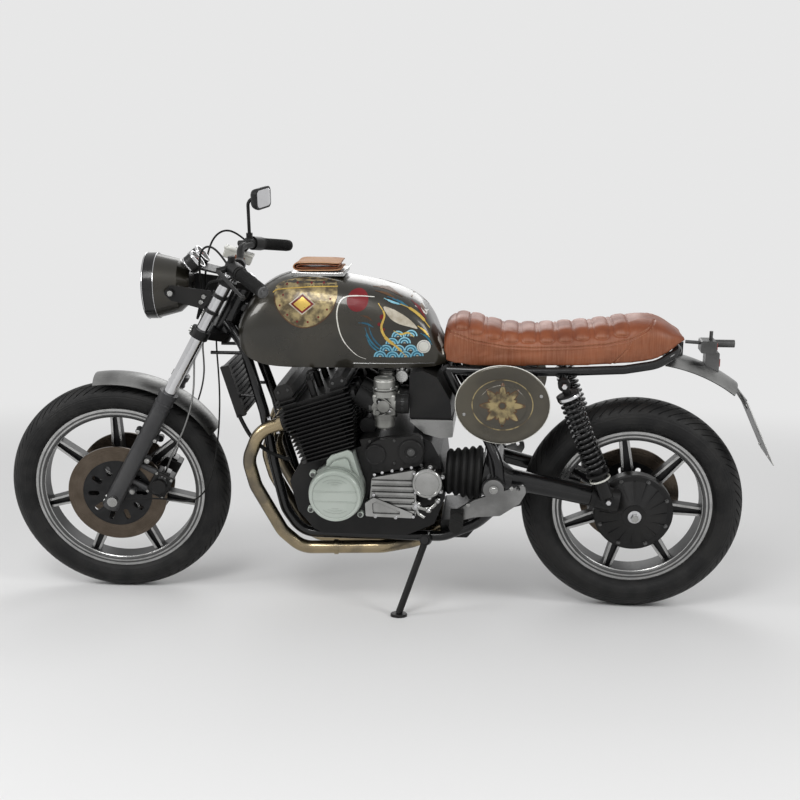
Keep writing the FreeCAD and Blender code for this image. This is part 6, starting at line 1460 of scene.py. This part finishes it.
def addHead():
    # Spark plug caps, port nuts, bolts of the cam boxes and the bright rods behind the cylinders
    look = headLook
    plugX, plugZ = look["plug"]
    caps = [at(knobForm(look["plugCap"], 20), (plugX, y, plugZ), look["plugAim"]) for y in cylinders]
    addPiece("plug_caps", caps, "rubber", "frame", "engine")
    addBolts("port_nuts", [((x, y + shift, z), (1, 0, 0.05), 5, 9, "hex") for y in cylinders
                           for x, z, shift in look["portNuts"]], "chrome", "frame", "engine")
    addBolts("head_bolts", [((x, side * look["side"], z), faceOf[side], 4, 3, "socket") for side in (1, -1)
                            for x, z in look["sideBolts"]], "darkSteel", "frame", "engine")
    rods = [wire([(x, side * look["rodSide"], z) for x, z in look["rod"]], 3) for side in (1, -1)]
    addPiece("side_rods", rods, "chrome", "frame", "engine")


carbLook = {"x": -60,
            "rings": [(20, 33.5, 0, 3, 1.0, 700), (12, 28.5, 0, 3.5, 1.4, 727), (20, 30, 0, 3, 1.0, 617)],
            "drain": 587, "topScrews": (45, 135, 225, 315), "screwReach": 29, "screwHeight": 703, "side": 186,
            "clamp": (24.5, 27, -4, 4, 0.8, 36), "clamps": (-22, -112), "clampHeight": 655}
tapLook = {"place": (-104, 88, 724), "plate": (34, 5, 34, 2), "boss": (6, 11, 0, 4, 0.8, 28),
           "lever": (7, 6, 26, 2),
           "screws": 12}


def addCarbs():
    # Clamps, top screws, drain nuts, linkage plates and fuel pipes of the carburettors
    look = carbLook
    forms, rows, dark, bands = [], [], [], []
    for y in cylinders:
        forms += [at(ringForm(inner, outer, low, high, edge, 40), (look["x"], y, z))
                  for inner, outer, low, high, edge, z in look["rings"]]
        forms.append(at(spun([(0, 0), (7, 0), (7, 8), (0, 9)], 6), (look["x"], y, look["drain"]), (0, 0, -1)))
        for degrees in look["topScrews"]:
            x, across = (look["screwReach"] * way(math.radians(degrees)) for way in (math.cos, math.sin))
            rows.append(((look["x"] + x, y + across, look["screwHeight"]), (0, 0, 1), 3, 3, "dome"))
        bands += [at(ringForm(*look["clamp"]), (x, y, look["clampHeight"]), (1, 0, 0))
                  for x in look["clamps"]]
    for side in (1, -1):
        def outside(x, reach, z):
            return x, side * (look["side"] + reach), z

        forms.append(at(blockForm(26, 4, 18, 1.2), outside(-48, 0, 668)))
        forms.append(at(knobForm([(9, 0), (9, 5), (6, 7)]), outside(-78, -2, 642), faceOf[side]))
        forms.append(at(spun([(0, 0), (6.5, 0), (6.5, 8), (0, 9)], 6), outside(-44, -2, 636), faceOf[side]))
        forms.append(wire([outside(-44, 2, 680), outside(-62, 5, 676), outside(-80, 3, 660)], 2.2, 8))
        forms.append(wire([outside(-38, 0, 632), outside(-52, 4, 628), outside(-66, 3, 634)], 1.8, 8))
        dark.append(at(ringForm(5, 8, 0, 3, 0.6, 24), outside(-48, 1.5, 668), faceOf[side]))
        rows.append((outside(-48, 2, 668), faceOf[side], 3.4, 4, "dome"))
        rows.append((outside(-78, 5, 642), faceOf[side], 3.4, 3, "dome"))
    addPiece("carburettor_details", forms, "castAluminium", "frame")
    addPiece("carburettor_seals", dark, "blackPlastic", "frame")
    addBolts("carburettor_screws", rows, "chrome")
    addPiece("intake_clamps", bands, "darkSteel", "frame")


def addTap():
    # Fuel tap plate with its lever
    look = tapLook
    x, y, z = look["place"]
    lever = moved(blockForm(*look["lever"]), Matrix.Translation((x + 6, y + 7, z - 16))
                  @ Matrix.Rotation(math.radians(30), 4, "Y"))
    tap = [at(blockForm(*look["plate"]), look["place"]), at(ringForm(*look["boss"]), (x, y + 2, z), leftFace),
           lever]
    addPiece("fuel_tap_plate", tap, "castAluminium", "frame")
    out = look["screws"]
    addBolts("fuel_tap_screws", [((x + wayX * out, y + 2, z + wayZ * out), leftFace, 2.8, 2.5, "dome")
                                 for wayX in (-1, 1) for wayZ in (-1, 1)], "chrome")


addGenerator()
addCovers()
addHead()
addCarbs()
addTap()
print("engine dressed")

# Frame side
ovalLook = {"centre": (-390, 662), "half": (130.4, 111.4), "side": 175.4, "rim": 1.7,
            "screws": [(-284, 634), (-496, 690)], "screwSide": 180.2, "leaves": 8,
            "stars": [(10, 60, 8.5, 0), (10, 40, 7.0, 22.5)], "edge": 2.2, "ring": (84, 72), "ringWidth": 3.0}


def addSideCovers():
    look = ovalLook
    rims, rows = [], []
    for side in (1, -1):
        line = [(x, side * look["side"], z) for x, z in arcPoints(look["centre"], *look["half"], count=96)]
        rims.append(hoopForm(line, look["rim"], leftFace))
        rows += [((x, side * look["screwSide"], z), faceOf[side], 5, 3, "dome") for x, z in look["screws"]]
    addPiece("cover_rims", rims, "paleStripe", "frame")
    addBolts("cover_screws", rows, "brightSteel")


def leafPoints(inner, outer, half, degrees, grow):
    # Outline of one leaf of the star, made larger by grow
    along, across = (Vector((math.cos(angle), math.sin(angle)))
                     for angle in (math.radians(degrees), math.radians(degrees + 90)))
    middle = along * (inner + outer) / 2
    corners = [along * (inner - grow), middle + across * (half + grow), along * (outer + grow * 2),
               middle - across * (half + grow)]
    return loopPoints([Vector(ovalLook["centre"]) + corner for corner in corners], 5)


def addEmblems():
    # Plain star and ring on the oval covers, gold with a dark edge
    look = ovalLook
    skin = skinOf(frame["nodes"]["side_covers"])
    gold, dark = [], []
    for side in (1, -1):
        for count, (inner, outer, half, turn) in enumerate(look["stars"]):
            for step in range(look["leaves"]):
                degrees = turn + 360 / look["leaves"] * step
                for forms, grow, lift in ((dark, look["edge"], 0.35), (gold, 0.0, 0.6 + 0.1 * count)):
                    forms.append(patchForm(leafPoints(inner, outer, half, degrees, grow), skin, side, 7,
                                           lift))
        ring = arcPoints(look["centre"], *look["ring"], count=48, extra=1)
        gold.append(stripeForm(ring, [look["ringWidth"]], skin, side, 0.5))
    addPiece("cover_star", gold, "goldLeaf", "frame", crease=60)
    addPiece("cover_star_edge", dark, "brownPaint", "frame", crease=60)


shockLook = {"top": (-558, 720), "low": (-691, 388), "side": 160, "nutSide": 181, "seatAt": 30, "ringAt": 290,
             "seat": [(16, -2), (31, 0), (33.4, 6), (33.4, 11), (31, 13), (16, 14), (16, -2)],
             "ring": (27.5, 30.5, 0, 5, 1.2, 40), "nut": [(9, 0), (9, 7), (7, 10)]}


def addShocks():
    look = shockLook
    seats, rings, nuts = [], [], []
    for side in (1, -1):
        top, low = (Vector((look[end][0], side * look["side"], look[end][1])) for end in ("top", "low"))
        along = (low - top).normalized()
        seats.append(at(spun(look["seat"]), top + along * look["seatAt"], along))
        rings.append(at(ringForm(*look["ring"]), top + along * look["ringAt"], along))
        nuts += [at(knobForm(look["nut"], 6), (place.x, side * look["nutSide"], place.z), faceOf[side])
                 for place in (top, low)]
    addPiece("shock_seats", seats, "chrome", "frame")
    addPiece("shock_rings", rings, "milkyPlastic", "frame")
    addPiece("shock_nuts", nuts, "chrome", "frame")


driveLook = {"axle": (-772.5, 322), "bolts": 8, "boltReach": 101, "washer": [(19, 0), (19, 3), (17, 4)],
             "nut": [(0, 3), (13, 3), (13, 12), (11, 14), (6, 14), (5, 11), (0, 11)]}


def addDrive():
    # Drive case bolts and axle nut with its washer
    look = driveLook
    axleX, axleZ = look["axle"]
    ring = [look["boltReach"] * Vector((math.cos(angle), 0, math.sin(angle))) for angle in
            (2 * math.pi * (step + 0.5) / look["bolts"] for step in range(look["bolts"]))]
    addBolts("drive_case_bolts",
             [((axleX + out.x, 84, axleZ + out.z), leftFace, 4.6, 5, "hex") for out in ring],
             "darkSteel")
    nut = joined([knobForm(look["washer"], 36), spun(look["nut"], 6)])
    addPiece("rear_axle_nut", [at(nut, (axleX, 118, axleZ), leftFace)], "chrome", "frame")


restLook = {"rib": (16.5, 19.2, -1.6, 1.6, 0.7, 28), "ribs": 9, "ribFrom": 238, "ribStep": 7.4,
            "peg": (-269, 346),
            "bolts": [((-370, 217, 427), 9, 6, "hex"), ((-300, 216, 380), 5.5, 5, "socket"),
                      ((-420, 216, 432), 5.5, 5, "socket")]}
tailLook = {"lenses": [((3, 40, 22, 1.2), (-998.5, 0, 756)), ((3, 46, 20, 1.2), (-988.5, 0, 803))],
            "plateTop": (-1067, 0, 668), "plateLow": (-1157, 0, 476),
            "bolts": [(-60, 24), (-60, 190), (60, 24),
                                                                               (60, 190)]}


def addRests():
    # Rubber ribs on the footrests and bolts of their plates
    look = restLook
    pegX, pegZ = look["peg"]
    ribs = [at(ringForm(*look["rib"]), (pegX, side * (look["ribFrom"] + look["ribStep"] * step), pegZ),
               leftFace)
            for side in (1, -1) for step in range(look["ribs"])]
    addPiece("footrest_ribs", ribs, "rubber", "frame")
    addBolts("rest_plate_bolts",
             [((x, side * y, z), faceOf[side], *size) for (x, y, z), *size in look["bolts"]
                                  for side in (1, -1)], "brightSteel")


def addTail():
    look = tailLook
    addPiece("tail_lamp_lenses", [at(blockForm(*size), place) for size, place in look["lenses"]], "redGloss",
             "frame")
    top = Vector(look["plateTop"])
    down = (Vector(look["plateLow"]) - top).normalized()
    ahead = Vector((-down.z, 0, down.x))
    rows = [(top + Vector((0, y, 0)) + down * reach + ahead * 2.4, ahead, 5, 4, "dome") for y,
            reach in look["bolts"]]
    addBolts("plate_bolts", rows, "brightSteel")


addSideCovers()
addEmblems()
addShocks()
addDrive()
addRests()
addTail()
print("frame side dressed")

# Cables and hoses that hang free, each from where it leaves the machine to where it goes back in
cordRoutes = {
    "left_brake_hose": (5.5, "steering", "fork", "brushedAluminium",
                        [(-6, 56, 561), (-7, 59, 534), (-16, 70, 500), (-38, 84, 460), (-60, 96, 416),
                         (-76, 100, 362), (-86, 98, 298), (-90, 88, 225), (-93, 79, 170), (-97, 68, 139)]),
    "right_brake_hose": (5.5, "steering", "fork", "brushedAluminium",
                         [(-6, -57, 561), (-8, -60, 532), (-17, -71, 498), (-38, -85, 458), (-60, -96, 413),
                          (-76, -100, 359), (-86, -98, 295), (-90, -88, 222), (-93, -78, 169),
                          (-97, -68, 139)]),
    "speed_cable": (5, "steering", "fork", "rubber",
                    [(-30, 106, 16), (-64, 110, 34), (-108, 109, 62), (-156, 106, 82), (-200, 101, 96),
                     (-224, 96, 126), (-229, 91, 172), (-216, 85, 232), (-192, 79, 300), (-162, 74, 372),
                     (-128, 68, 440), (-92, 58, 500), (-62, 44, 545), (-48, 34, 568)]),
    "clutch_cable": (6, "steering", "steered", "rubber",
                     [(383, 170, 1052), (404, 158, 1082), (436, 130, 1100), (466, 96, 1084), (482, 66, 1040),
                      (484, 44, 985), (486, 30, 930), (505, 22, 868)]),
    "throttle_cable": (6, "steering", "steered", "rubber",
                       [(383, -196, 1054), (408, -188, 1080), (440, -156, 1096), (468, -118, 1080),
                        (484, -84, 1034), (488, -56, 980), (488, -36, 926), (505, -24, 868)]),
    "switch_wires": (7, "steering", "steered", "rubber",
                     [(352, 196, 1038), (372, 178, 1018), (402, 150, 1004), (432, 116, 998), (456, 84, 984),
                      (470, 58, 950), (478, 40, 912), (503, 34, 868)]),
    "left_cooler_hose": (12, "frame", "upright", "rubber",
                         [(372, 104, 594), (356, 107, 560), (334, 108, 524), (300, 108, 494), (262, 107, 474),
                          (226, 106, 462)]),
    "right_cooler_hose": (12, "frame", "upright", "rubber",
                          [(372, -104, 594), (357, -107, 558), (332, -108, 520), (298, -108, 492),
                           (262, -107, 474), (226, -106, 462)]),
}
# Plug leads: diameter, and how far from the middle plane the outer and inner ones end
leadLook = {"diameter": 6.5, "plugs": (160.5, 53.5, -53.5, -160.5), "outerEnd": 32, "innerEnd": 18}

for cordName, (diameter, body, where, look, points) in cordRoutes.items():
    addCord(cordName, points, diameter, look, body, where)
for index, y in enumerate(leadLook["plugs"]):
    way = 1 if y > 0 else -1
    end = way * leadLook["outerEnd" if abs(y) > 100 else "innerEnd"]
    points = [(-14, y, 245), (-17, y - way * 8, 250), (-24, y - way * 18, 248), (-34, (y + end) / 2, 240),
              (-38, end + way * 8, 234), (-40, end, 236)]
    addCord("plug_lead_%d" % (index + 1), points, leadLook["diameter"], "rubber", "frame", "engine")
print("cables and hoses laid")
